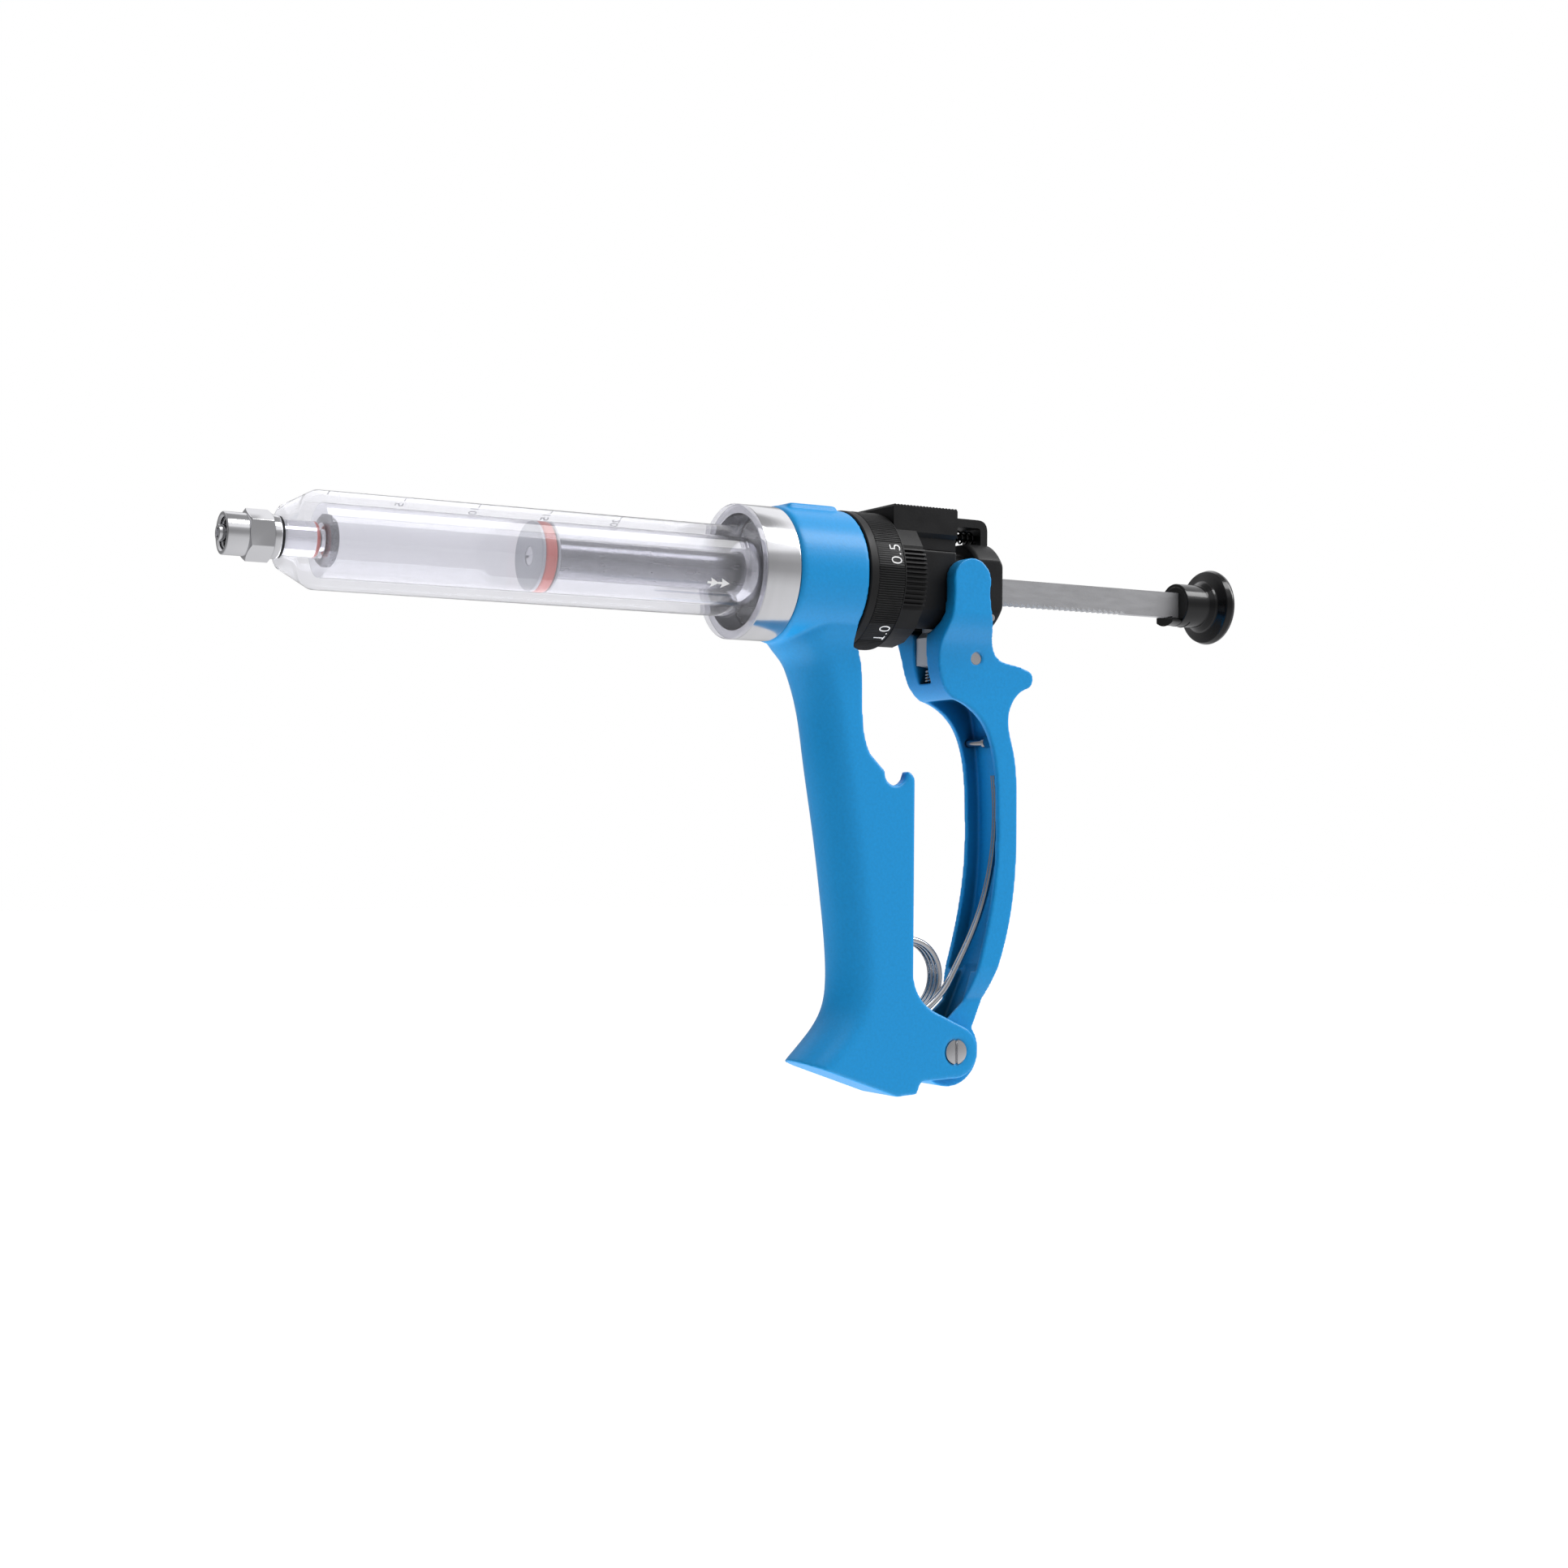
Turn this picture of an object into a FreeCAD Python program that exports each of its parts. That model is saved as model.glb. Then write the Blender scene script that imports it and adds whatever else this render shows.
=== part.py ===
import FreeCAD, Part
import math
import os
import Sketcher
from FreeCAD import Placement, Rotation, Vector

# Pistol-grip repeating syringe with a Luer-lock nozzle.
# Row frame: origin at the tip of the Luer cone, +X along the barrel towards the knob, +Z up,
# the handle hangs towards -Z. Lengths are millimetres.
# Mechanism pieces are placed from FACE, the front face of the blue housing.

SIZES = {
    # overall lengths
    "luer_reach": (14.9, "Luer tip to the nose of the barrel"),
    "barrel_length": (123.4, "nose face to rear end face of the flange"),
    "ring_length": (10.1, "bayonet ring"),
    "housing_length": (20.7, "blue housing drum"),
    "dose_ring_length": (11.2, "dose ring"),
    "collar_length": (7.0, "ribbed stop collar"),
    # clearances
    "run_fit": (0.05, "radial clearance of running fits"),
    "slip_fit": (0.1, "clearance of pieces that are fitted by hand"),
    "side_gap": (0.3, "gap between faces that move past each other"),
    # barrel
    "barrel_radius": (12.0, "outside"),
    "bore_radius": (9.0, "inside"),
    "nose_radius": (7.5, "flat nose face"),
    "nose_taper": (8.2, "length of the outside cone"),
    "nose_wall": (10.0, "nose face to start of the bore"),
    "flange_radius": (17.9, "rear flange"),
    "flange_thick": (1.6, "rear flange"),
    "spigot_radius": (15.4, "spigot behind the flange"),
    "spigot_length": (7.6, "spigot behind the flange"),
    "ring_web": (1.0, "web at the back of the bayonet ring"),
    "web_hole": (12.2, "radius of the hole in that web"),
    "gasket_thick": (1.2, "gasket behind the barrel spigot"),
    # nozzle
    "cone_tip": (1.99, "Luer cone radius at the tip"),
    "cone_taper": (0.03, "Luer cone: radius gained per millimetre, 6 % on diameter"),
    "cone_out": (1.0, "cone stands out of the lock collar"),
    "luer_bore": (1.2, "radius of the fluid passage"),
    "lock_length": (5.3, "lock collar"),
    "lock_radius": (5.13, "lock collar outside"),
    "lock_thread": (3.9, "lock collar inside"),
    "lock_floor": (0.9, "wall behind the lock collar's hollow"),
    "hex_length": (6.1, "spanner hexagon"),
    "hex_across": (11.0, "spanner hexagon across flats"),
    "shoulder_radius": (5.3, "shoulder behind the hexagon"),
    "seal_thick": (0.7, "flat seal between shoulder and nose"),
    "stem_radius": (4.3, "stem through the nose"),
    "nut_length": (3.0, "nut inside the barrel"),
    "oring_wire": (0.8, "nozzle O-ring wire radius"),
    # plunger
    "piston_place": (69.2, "piston front ahead of the housing face"),
    "piston_front_thick": (0.9, "front disc"),
    "piston_seal_width": (3.4, "O-ring band"),
    "piston_back_thick": (0.7, "rear disc"),
    "piston_hub": (5.6, "hub radius under the O-ring"),
    "rod_radius": (5.2, "piston rod"),
    "rod_rear": (2.0, "rod ends ahead of the housing face"),
    "rod_slot": (12.0, "rack enters the rod"),
    "screw_radius": (1.5, "piston screw shank"),
    "screw_head": (2.3, "piston screw head"),
    "screw_length": (9.0, "piston screw shank length"),
    "rack_thick": (3.0, "across Y"),
    "rack_top": (3.5, "above the axis"),
    "rack_bottom": (3.9, "below the axis, to the tooth tips"),
    "tooth_pitch": (1.9648, "half a millilitre in the bore"),
    "tooth_depth": (1.05, "saw tooth"),
    "tooth_count": (59, "saw teeth"),
    "tooth_start": (3.0, "first tooth behind the housing face"),
    "rack_end": (144.5, "behind the housing face"),
    # knob
    "knob_start": (138.2, "collar front face"),
    "knob_collar": (6.3, "collar radius"),
    "knob_collar_length": (9.3, "collar"),
    "knob_radius": (11.1, "disc"),
    "knob_thick": (4.5, "disc"),
    "knob_end": (153.8, "rear face"),
    "knob_hollow": (4.7, "hollow radius in the collar's front"),
    "knob_hollow_depth": (3.2, "hollow depth"),
    "tongue_reach": (6.0, "tongue ahead of the collar"),
    "tongue_half": (3.4, "tongue half width"),
    # housing and handle
    "housing_radius": (18.4, "drum"),
    "housing_bore": (15.4, "behind the front wall"),
    "housing_wall": (2.5, "front wall"),
    "guide_flange": (12.0, "rod guide flange radius"),
    "grip_half": (9.3, "handle half width"),
    "grip_rear": (41.4, "rear face of the handle"),
    "ear_gap": (5.8, "half gap between the two ears"),
    "ear_radius": (7.3, "round of the ears"),
    "pivot_x": (55.2, "lever pivot behind the housing face"),
    "pivot_drop": (128.1, "lever pivot below the barrel axis"),
    "pivot_radius": (2.5, "pivot screw shank"),
    "pivot_head": (3.33, "pivot screw head"),
    "notch_radius": (3.5, "round notch at the back of the handle"),
    # mechanism
    "sleeve_radius": (13.1, "sleeve that carries the dose ring"),
    "body_half": (10.5, "body half width between the lever arms"),
    "body_top": (11.6, "flat top under the release slide"),
    "body_bottom": (12.4, "underside"),
    "flank_drop": (7.0, "square flanks of the block below the axis"),
    "skirt_low": (8.6, "seam between the block and the slide's skirts"),
    "skirt_half": (9.0, "inside of the slide's skirts"),
    "body_end": (53.5, "rear face of the body block"),
    "neck_radius": (9.0, "neck behind the block"),
    "tail_start": (60.0, "rear drum"),
    "tail_length": (9.0, "rear drum"),
    "tail_radius": (12.8, "rear drum"),
    "tail_half": (10.6, "rear drum half width over its flats"),
    "rack_clear": (0.12, "rack channel clearance"),
    "dose_radius": (18.7, "dose ring outside"),
    "collar_radius": (17.7, "stop collar outside"),
    # release slide
    "slide_start": (32.6, "front face"),
    "slide_length": (20.7, "along X"),
    "slide_half": (11.0, "half width"),
    "slide_top": (20.3, "top face"),
    "slide_hollow": (5.6, "half width of its hollow"),
    "slide_travel": (3.0, "release stroke"),
    "guard_top": (18.8, "top of the guard"),
    "guard_half": (4.5, "guard half width"),
    "guard_thick": (2.0, "guard wall"),
    "guard_end": (67.6, "rear face of the guard"),
    "guard_foot": (12.0, "foot of the guard on the rear drum"),
    # lever
    "arm_inner": (10.8, "inside of the fork arms"),
    "arm_outer": (15.5, "outside of the fork arms"),
    "lever_half": (8.5, "half width of the finger part"),
    "lever_wall": (1.7, "side wall of the channel"),
    "lever_foot": (5.5, "half width between the ears"),
    "boss_radius": (9.8, "round about the pivot"),
    "pawl_half": (2.75, "feed pawl half width"),
    "pawl_pin_radius": (1.75, "feed pawl pin"),
    "pawl_pin_x": (60.9, "behind the housing face"),
    "pawl_pin_drop": (20.1, "below the axis"),
    "check_half": (2.0, "check pawl half width"),
    "check_pin_radius": (1.0, "check pawl pin"),
    "check_pin_x": (65.4, "behind the housing face"),
    "check_pin_drop": (8.7, "below the axis"),
    # return spring
    "spring_wire": (1.0, "wire radius"),
    "spring_coil": (10.4, "mean radius of the coil"),
    "spring_turns": (3, "turns"),
    "spring_leg": (34.0, "straight leg up the handle, at the drawn pivot_drop"),
    "spring_x": (44.0, "coil axis behind the housing face"),
    "spring_rise": (20.1, "coil axis above the lever pivot"),
}

doc = FreeCAD.newDocument("repeating_syringe")
sheet = doc.addObject("Spreadsheet::Sheet", "Sheet")
for row, (alias, (number, note)) in enumerate(SIZES.items(), 1):
    sheet.set(f"A{row}", alias)
    sheet.set(f"B{row}", str(number))
    sheet.setAlias(f"B{row}", alias)
    sheet.set(f"C{row}", note)
doc.recompute()


class Size:
    """A length that knows its number and the spreadsheet expression it comes from."""

    def __init__(self, value, text):
        self.value = float(value)
        self.text = text

    def __add__(self, other):
        other = size(other)
        return Size(self.value + other.value, f"({self.text} + {other.text})")

    def __sub__(self, other):
        other = size(other)
        return Size(self.value - other.value, f"({self.text} - {other.text})")

    def __mul__(self, other):
        other = size(other)
        return Size(self.value * other.value, f"({self.text} * {other.text})")

    def __truediv__(self, other):
        other = size(other)
        return Size(self.value / other.value, f"({self.text} / {other.text})")

    def __neg__(self):
        return Size(-self.value, f"(-1 * {self.text})")

    __radd__ = __add__
    __rmul__ = __mul__

    def __rsub__(self, other):
        return size(other) - self


def size(number):
    """The Size itself, or a plain number as a Size."""
    return number if isinstance(number, Size) else Size(number, repr(float(number)))


class Sheet:
    """Every named cell as a Size: S.barrel_length and so on."""

    def __getattr__(self, alias):
        return Size(getattr(sheet, alias), f"Sheet.{alias}")


S = Sheet()
FACE = S.luer_reach + S.barrel_length + S.ring_length
BIG = 80.0
SPRING_GAP = 0.15  # between the turns of the return spring
JOINT_BEAD = 1.03  # bead over a kink in a wire, in wire radii
DETENT_BALL = 1.2
HOLLOW_TOP = -46.0  # drawn heights and depth of the hollow down the back of the handle
HOLLOW_FOOT = -121.0
HOLLOW_DEEP = 12.4
RING_GAP = 0.6  # between the dose ring and the stop collar
FEED_FRONT = 37.6  # front of the slot where the feed pawl reaches the rack
GUARD_START = 46.5  # front of the cover over the release spring
PIN_REACH = 3.35  # half length of the feed pawl's pin, in pawl half widths
SINK_DEEP = 1.0  # seats of the pivot screw's head and nut in the handle's sides
SCREW_CIRCLE = 13.8

# The mechanism, the lever and the knob are drawn at their distances behind the housing face for
# a stop collar that ends DRAWN_COLLAR behind it; BACK moves them all with the real collar.
DRAWN_COLLAR = 38.9
SHIFT = S.housing_length + S.dose_ring_length + S.collar_length - DRAWN_COLLAR
BACK = FACE + SHIFT

# Heights below STRETCH_FROM are drawn for a lever pivot DRAWN_DROP below the axis.
DRAWN_DROP = 128.1
STRETCH_FROM = -45.0
nodes = []


# ---------------------------------------------------------------- helpers

def bind(thing, prop, length):
    thing.setExpression(prop, size(length).text)


def keep(thing, label):
    """Register a finished sub-part under its label."""
    thing.Label = label
    nodes.append(thing)
    return thing


def place(thing, x=None, y=None, z=None):
    for axis, length in (("x", x), ("y", y), ("z", z)):
        if length is not None:
            bind(thing, f"Placement.Base.{axis}", length)
    return thing


def new_body(x=None):
    return place(doc.addObject("PartDesign::Body", "Body"), x=x)


def sketch(body, plane, corners):
    """A closed straight-sided outline; both coordinates of each corner are tied to the sheet."""
    outline = body.newObject("Sketcher::SketchObject", "Outline")
    support = next(f for f in body.Origin.OriginFeatures if f.Role == plane)
    outline.AttachmentSupport = (support, [""])
    outline.MapMode = "FlatFace"
    corners = [(size(a), size(b)) for a, b in corners]
    count = len(corners)
    for i, (a, b) in enumerate(corners):
        c, d = corners[(i + 1) % count]
        line = Part.LineSegment(Vector(a.value, b.value, 0), Vector(c.value, d.value, 0))
        outline.addGeometry(line, False)
    for i in range(count):
        outline.addConstraint(Sketcher.Constraint("Coincident", i, 2, (i + 1) % count, 1))
    for i, corner in enumerate(corners):
        for kind, length in zip(("DistanceX", "DistanceY"), corner):
            number = outline.addConstraint(Sketcher.Constraint(kind, i, 1, length.value))
            outline.setExpression(f"Constraints[{number}]", length.text)
    return outline


def circle_sketch(body, plane, radius, a=0.0, b=0.0):
    """One circle whose centre and radius are tied to the sheet."""
    outline = body.newObject("Sketcher::SketchObject", "Round")
    support = next(f for f in body.Origin.OriginFeatures if f.Role == plane)
    outline.AttachmentSupport = (support, [""])
    outline.MapMode = "FlatFace"
    a, b, radius = size(a), size(b), size(radius)
    centre = Vector(a.value, b.value, 0)
    outline.addGeometry(Part.Circle(centre, Vector(0, 0, 1), radius.value), False)
    outline.addConstraint(Sketcher.Constraint("Radius", 0, radius.value))
    outline.setExpression("Constraints[0]", radius.text)
    for kind, length in (("DistanceX", a), ("DistanceY", b)):
        number = outline.addConstraint(Sketcher.Constraint(kind, 0, 3, length.value))
        outline.setExpression(f"Constraints[{number}]", length.text)
    return outline


def revolve(body, profile):
    turn = body.newObject("PartDesign::Revolution", "Turn")
    turn.Profile = profile
    turn.ReferenceAxis = (profile, ["H_Axis"])
    turn.Angle = 360
    return turn


def pad(body, profile, length):
    """Pad that is symmetric about the sketch's plane."""
    solid = body.newObject("PartDesign::Pad", "Pad")
    solid.Profile = profile
    solid.SideType = "Symmetric"
    bind(solid, "Length", length)
    return solid


def pocket(body, profile, length):
    """Pocket that is symmetric about the sketch's plane; it must remove material."""
    doc.recompute()
    before = body.Shape.Volume
    hole = body.newObject("PartDesign::Pocket", "Pocket")
    hole.Profile = profile
    hole.SideType = "Symmetric"
    bind(hole, "Length", length)
    doc.recompute()
    if not body.Shape.Volume < before:
        raise RuntimeError(f"a pocket of {body.Label} removes nothing")
    return hole


def turned(label, profile, x=None):
    """A piece turned about the barrel axis from (x, radius) corners."""
    body = new_body(x)
    revolve(body, sketch(body, "XZ_Plane", profile))
    return keep(body, label)


def tube(label, start, length, outer, inner, x=None):
    end = size(start) + length
    return turned(label, [(start, inner), (end, inner), (end, outer), (start, outer)], x)


AXES = {
    "X": Rotation(Vector(0, 1, 0), 90),
    "Y": Rotation(Vector(1, 0, 0), -90),
    "Z": Rotation(),
}


def cylinder(radius, length, x=0.0, y=0.0, z=0.0, axis="X"):
    """A cylinder that starts at (x, y, z) and runs along +axis."""
    solid = doc.addObject("Part::Cylinder", "Cylinder")
    bind(solid, "Radius", radius)
    bind(solid, "Height", length)
    solid.Placement = Placement(Vector(), AXES[axis])
    return place(solid, x, y, z)


def block(x_low, x_high, y_half, z_low, z_high):
    """A box, symmetric about Y = 0."""
    solid = doc.addObject("Part::Box", "Block")
    x_low, z_low, y_half = size(x_low), size(z_low), size(y_half)
    bind(solid, "Length", x_high - x_low)
    bind(solid, "Width", y_half * 2)
    bind(solid, "Height", z_high - z_low)
    return place(solid, x_low, -y_half, z_low)


def fuse(*solids):
    whole = doc.addObject("Part::MultiFuse", "Fuse")
    whole.Shapes = list(solids)
    return whole


def cut(base, *tools):
    rest = doc.addObject("Part::Cut", "Cut")
    rest.Base = base
    rest.Tool = tools[0] if len(tools) == 1 else fuse(*tools)
    return rest


def common(*solids):
    shared = doc.addObject("Part::MultiCommon", "Common")
    shared.Shapes = list(solids)
    return shared


def shaped(label, shape, x=None):
    """A sub-part whose surface neither sketches nor primitives describe."""
    thing = doc.addObject("Part::Feature", "Shaped")
    thing.Shape = shape
    return keep(place(thing, x=x), label)


def prism(edges, y_half):
    """The closed outline in the XZ plane, thickened to both sides of Y = 0."""
    face = Part.Face(Part.Wire(Part.__sortEdges__(edges)))
    solid = face.extrude(Vector(0, 2 * y_half, 0))
    solid.translate(Vector(0, -y_half, 0))
    return solid


def stretch():
    """How much longer the handle is than it is drawn, below STRETCH_FROM."""
    return (S.pivot_drop.value + STRETCH_FROM) / (DRAWN_DROP + STRETCH_FROM)


def drop(z):
    """The drawn height, stretched with the handle where it lies below the finger guard."""
    if z > STRETCH_FROM:
        return z
    return STRETCH_FROM + (z - STRETCH_FROM) * stretch()


def at(x, z):
    """Point of a side outline at its drawn height."""
    return Vector(x, 0, drop(z))


def pivot_point(shift=0.0):
    return Vector(S.pivot_x.value + shift, 0, -S.pivot_drop.value)


def curve(points):
    """Smooth curve through the points."""
    spline = Part.BSplineCurve()
    spline.interpolate(points)
    return spline.toShape()


def polyline(points):
    return [Part.LineSegment(a, b).toShape() for a, b in zip(points, points[1:])]


def coil(label, start, direction, mean_radius, wire_radius, length, turns):
    """A compression spring of round wire along a straight axis."""
    pitch = (length - 2 * wire_radius) / turns
    helix = Part.makeHelix(pitch, pitch * turns, mean_radius)
    ring = Part.Circle(Vector(mean_radius, 0, 0), Vector(0, 1, 0), wire_radius)
    wire = Part.Wire(helix).makePipeShell([Part.Wire(ring.toShape())], True, True)
    wire.translate(Vector(0, 0, wire_radius))
    wire.Placement = Placement(start, Rotation(Vector(0, 0, 1), direction)).multiply(wire.Placement)
    return shaped(label, wire)


# ---------------------------------------------------------------- barrel end

def barrel():
    nose = -(S.ring_length + S.barrel_length)
    rear = -S.ring_length
    front = rear - S.flange_thick
    turned("barrel", [
        (nose, S.stem_radius + S.slip_fit),
        (nose, S.nose_radius),
        (nose + S.nose_taper, S.barrel_radius),
        (front, S.barrel_radius),
        (front, S.flange_radius),
        (rear, S.flange_radius),
        (rear, S.spigot_radius),
        (rear + S.spigot_length, S.spigot_radius),
        (rear + S.spigot_length, S.bore_radius),
        (nose + S.nose_wall, S.bore_radius),
        (nose + S.nose_wall, S.stem_radius + S.slip_fit),
    ], FACE)


def barrel_ring():
    turned("barrel_ring", [
        (-S.ring_length, S.spigot_radius + S.slip_fit),
        (-S.ring_length, S.flange_radius),
        (0, S.flange_radius),
        (0, S.web_hole),
        (-S.ring_web, S.web_hole),
        (-S.ring_web, S.spigot_radius + S.slip_fit),
    ], FACE)


def barrel_gasket():
    start = -S.ring_web - S.gasket_thick
    tube("barrel_gasket", start, S.gasket_thick, S.spigot_radius, S.bore_radius + 1.2, FACE)


def rod_guide():
    """Bush with a domed front that closes the barrel and carries the piston rod."""
    hole = S.rod_radius + S.run_fit
    body = S.bore_radius - S.slip_fit
    front = -S.ring_length
    turned("rod_guide", [
        (front, hole), (front, S.rod_radius + 1.4), (front + 1.6, body - 0.9),
        (front + 3.2, body), (-S.ring_web + 0.2, body),
        (-S.ring_web + 0.2, S.guide_flange - S.slip_fit),
        (S.housing_wall, S.guide_flange - S.slip_fit), (S.housing_wall, hole),
    ], FACE)


HEX_CORNERS = [math.radians(60 * k + 30) for k in range(6)]


def hexagon(body, across):
    """Hexagon sketch on the YZ plane, a flat facing +Y."""
    far = size(across) / (2 * math.cos(math.radians(30)))
    return sketch(body, "YZ_Plane", [(far * math.cos(a), far * math.sin(a)) for a in HEX_CORNERS])


def luer_fitting():
    """Male Luer cone inside a lock collar, a hexagon, a shoulder and the stem."""
    hollow_end = S.cone_out + S.lock_length - S.lock_floor
    hex_start = S.cone_out + S.lock_length
    hex_end = hex_start + S.hex_length
    shoulder_end = S.luer_reach - S.seal_thick
    stem_end = S.luer_reach + S.nose_wall + S.nut_length
    groove = S.luer_reach + S.nose_wall - S.oring_wire * 3.4
    groove_end = groove + S.oring_wire * 2.4
    groove_radius = S.stem_radius - S.oring_wire * 2
    body = new_body()
    revolve(body, sketch(body, "XZ_Plane", [
        (0, S.luer_bore), (0, S.cone_tip),
        (hollow_end, S.cone_tip + S.cone_taper * hollow_end),
        (hollow_end, S.lock_thread), (S.cone_out, S.lock_thread),
        (S.cone_out, S.lock_radius), (hex_end, S.lock_radius),
        (hex_end, S.shoulder_radius), (shoulder_end, S.shoulder_radius),
        (shoulder_end, S.stem_radius), (groove, S.stem_radius), (groove, groove_radius),
        (groove_end, groove_radius), (groove_end, S.stem_radius),
        (stem_end, S.stem_radius), (stem_end, S.luer_bore),
    ]))
    spanner = hexagon(body, S.hex_across)
    bind(spanner, "AttachmentOffset.Base.z", hex_start)
    flats = body.newObject("PartDesign::Pad", "Hexagon")
    flats.Profile = spanner
    bind(flats, "Length", S.hex_length)
    doc.recompute()
    bore = body.newObject("PartDesign::Pocket", "Bore")
    bore.Profile = circle_sketch(body, "YZ_Plane", S.luer_bore)
    bore.Type = "ThroughAll"
    bore.Reversed = True
    keep(body, "luer_fitting")


def nozzle_seals():
    tube("nozzle_seal", S.luer_reach - S.seal_thick, S.seal_thick,
         S.shoulder_radius - 0.3, S.stem_radius + S.slip_fit)
    ring = doc.addObject("Part::Torus", "Ring")
    bind(ring, "Radius1", S.stem_radius - S.oring_wire + S.slip_fit / 2)
    bind(ring, "Radius2", S.oring_wire)
    ring.Placement = Placement(Vector(), AXES["X"])
    place(ring, x=S.luer_reach + S.nose_wall - S.oring_wire * 2.2)
    keep(ring, "nozzle_o_ring")


def nozzle_nut():
    body = new_body()
    outline = hexagon(body, S.hex_across)
    bind(outline, "AttachmentOffset.Base.z", S.luer_reach + S.nose_wall)
    flats = body.newObject("PartDesign::Pad", "Hexagon")
    flats.Profile = outline
    bind(flats, "Length", S.nut_length)
    doc.recompute()
    hole = body.newObject("PartDesign::Pocket", "Hole")
    hole.Profile = circle_sketch(body, "YZ_Plane", S.stem_radius + S.slip_fit / 2)
    hole.Type = "ThroughAll"
    hole.Reversed = True
    keep(body, "nozzle_nut")


# ---------------------------------------------------------------- plunger

def piston():
    outer = S.bore_radius - S.run_fit
    front = -S.piston_place
    seat = front + S.piston_front_thick
    seal_end = seat + S.piston_seal_width
    back = seal_end + S.piston_back_thick
    hole = S.screw_radius + S.run_fit
    recess = S.screw_head + S.slip_fit
    turned("piston_front", [
        (front, recess), (front, outer), (seat, outer), (seat, S.piston_hub),
        (seal_end, S.piston_hub), (seal_end, hole), (seat, hole), (seat, recess),
    ], FACE)
    band = S.piston_seal_width / 4
    turned("piston_o_ring", [
        (seat, S.piston_hub), (seat, outer - band), (seat + band, outer),
        (seal_end - band, outer), (seal_end, outer - band), (seal_end, S.piston_hub),
    ], FACE)
    tube("piston_back", seal_end, S.piston_back_thick, outer, hole, FACE)
    screw_end = seat + S.screw_length
    body = new_body(FACE)
    revolve(body, sketch(body, "XZ_Plane", [
        (front + 0.2, 0), (front + 0.2, S.screw_head), (seat, S.screw_head),
        (seat, S.screw_radius), (screw_end, S.screw_radius), (screw_end, 0),
    ]))
    slot = sketch(body, "XZ_Plane", [
        (front, 0.3), (front + 0.6, 0.3), (front + 0.6, -0.3), (front, -0.3)])
    pocket(body, slot, S.screw_head * 3)
    keep(body, "piston_screw")
    rod = fuse_rod(back, screw_end, hole)
    keep(rod, "piston_rod")


def fuse_rod(back, screw_end, hole):
    """The round rod: bored for the piston screw, slotted for the rack, drilled for the rod pin."""
    length = S.piston_place - S.rod_rear - (back + S.piston_place)
    solid = cylinder(S.rod_radius, length, x=FACE + back)
    bored = cylinder(hole, screw_end - back + 1.0, x=FACE + back)
    slot = block(FACE - S.rod_rear - S.rod_slot - S.slip_fit, FACE - S.rod_rear + 1.0,
                 S.rack_thick / 2 + S.rack_clear / 2, -(S.rack_bottom + S.run_fit),
                 S.rack_top + S.run_fit)
    pin = cylinder(S.screw_radius + S.run_fit, BIG, x=FACE - S.rod_rear - S.rod_slot / 2,
                   y=-BIG / 2, axis="Y")
    return cut(solid, bored, slot, pin)


def rod_pin():
    half = S.rod_radius - 0.35
    pin = cylinder(S.screw_radius, half * 2, x=FACE - S.rod_rear - S.rod_slot / 2, y=-half, axis="Y")
    keep(pin, "rod_pin")


def rack():
    """Flat bar with saw teeth on its underside; each tooth's steep face looks back."""
    start = -(S.rod_rear + S.rod_slot)
    end = S.rack_end + SHIFT
    low = -S.rack_bottom
    body = new_body(FACE)
    pad(body, sketch(body, "XZ_Plane", [
        (start, low + S.tooth_depth), (S.tooth_start, low + S.tooth_depth),
        (S.tooth_start, low), (end, low), (end, S.rack_top), (start, S.rack_top),
    ]), S.rack_thick)
    tooth = pocket(body, sketch(body, "XZ_Plane", [
        (S.tooth_start, low - 0.5), (S.tooth_start, low + S.tooth_depth),
        (S.tooth_start + S.tooth_pitch - 0.15, low), (S.tooth_start + S.tooth_pitch - 0.15, low - 0.5),
    ]), S.rack_thick * 2)
    row = body.newObject("PartDesign::LinearPattern", "Teeth")
    row.Originals = [tooth]
    row.Direction = (tooth.Profile[0], ["H_Axis"])
    bind(row, "Length", S.tooth_pitch * (S.tooth_count - 1))
    bind(row, "Occurrences", S.tooth_count)
    body.Tip = row
    doc.recompute()
    pin = circle_sketch(body, "XZ_Plane", S.screw_radius + S.run_fit, -(S.rod_rear + S.rod_slot / 2), 0)
    pocket(body, pin, S.rack_thick * 2)
    pin = circle_sketch(body, "XZ_Plane", 1.0 + S.run_fit, end - 2.4, 0)
    pocket(body, pin, S.rack_thick * 2)
    keep(body, "rack")


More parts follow.
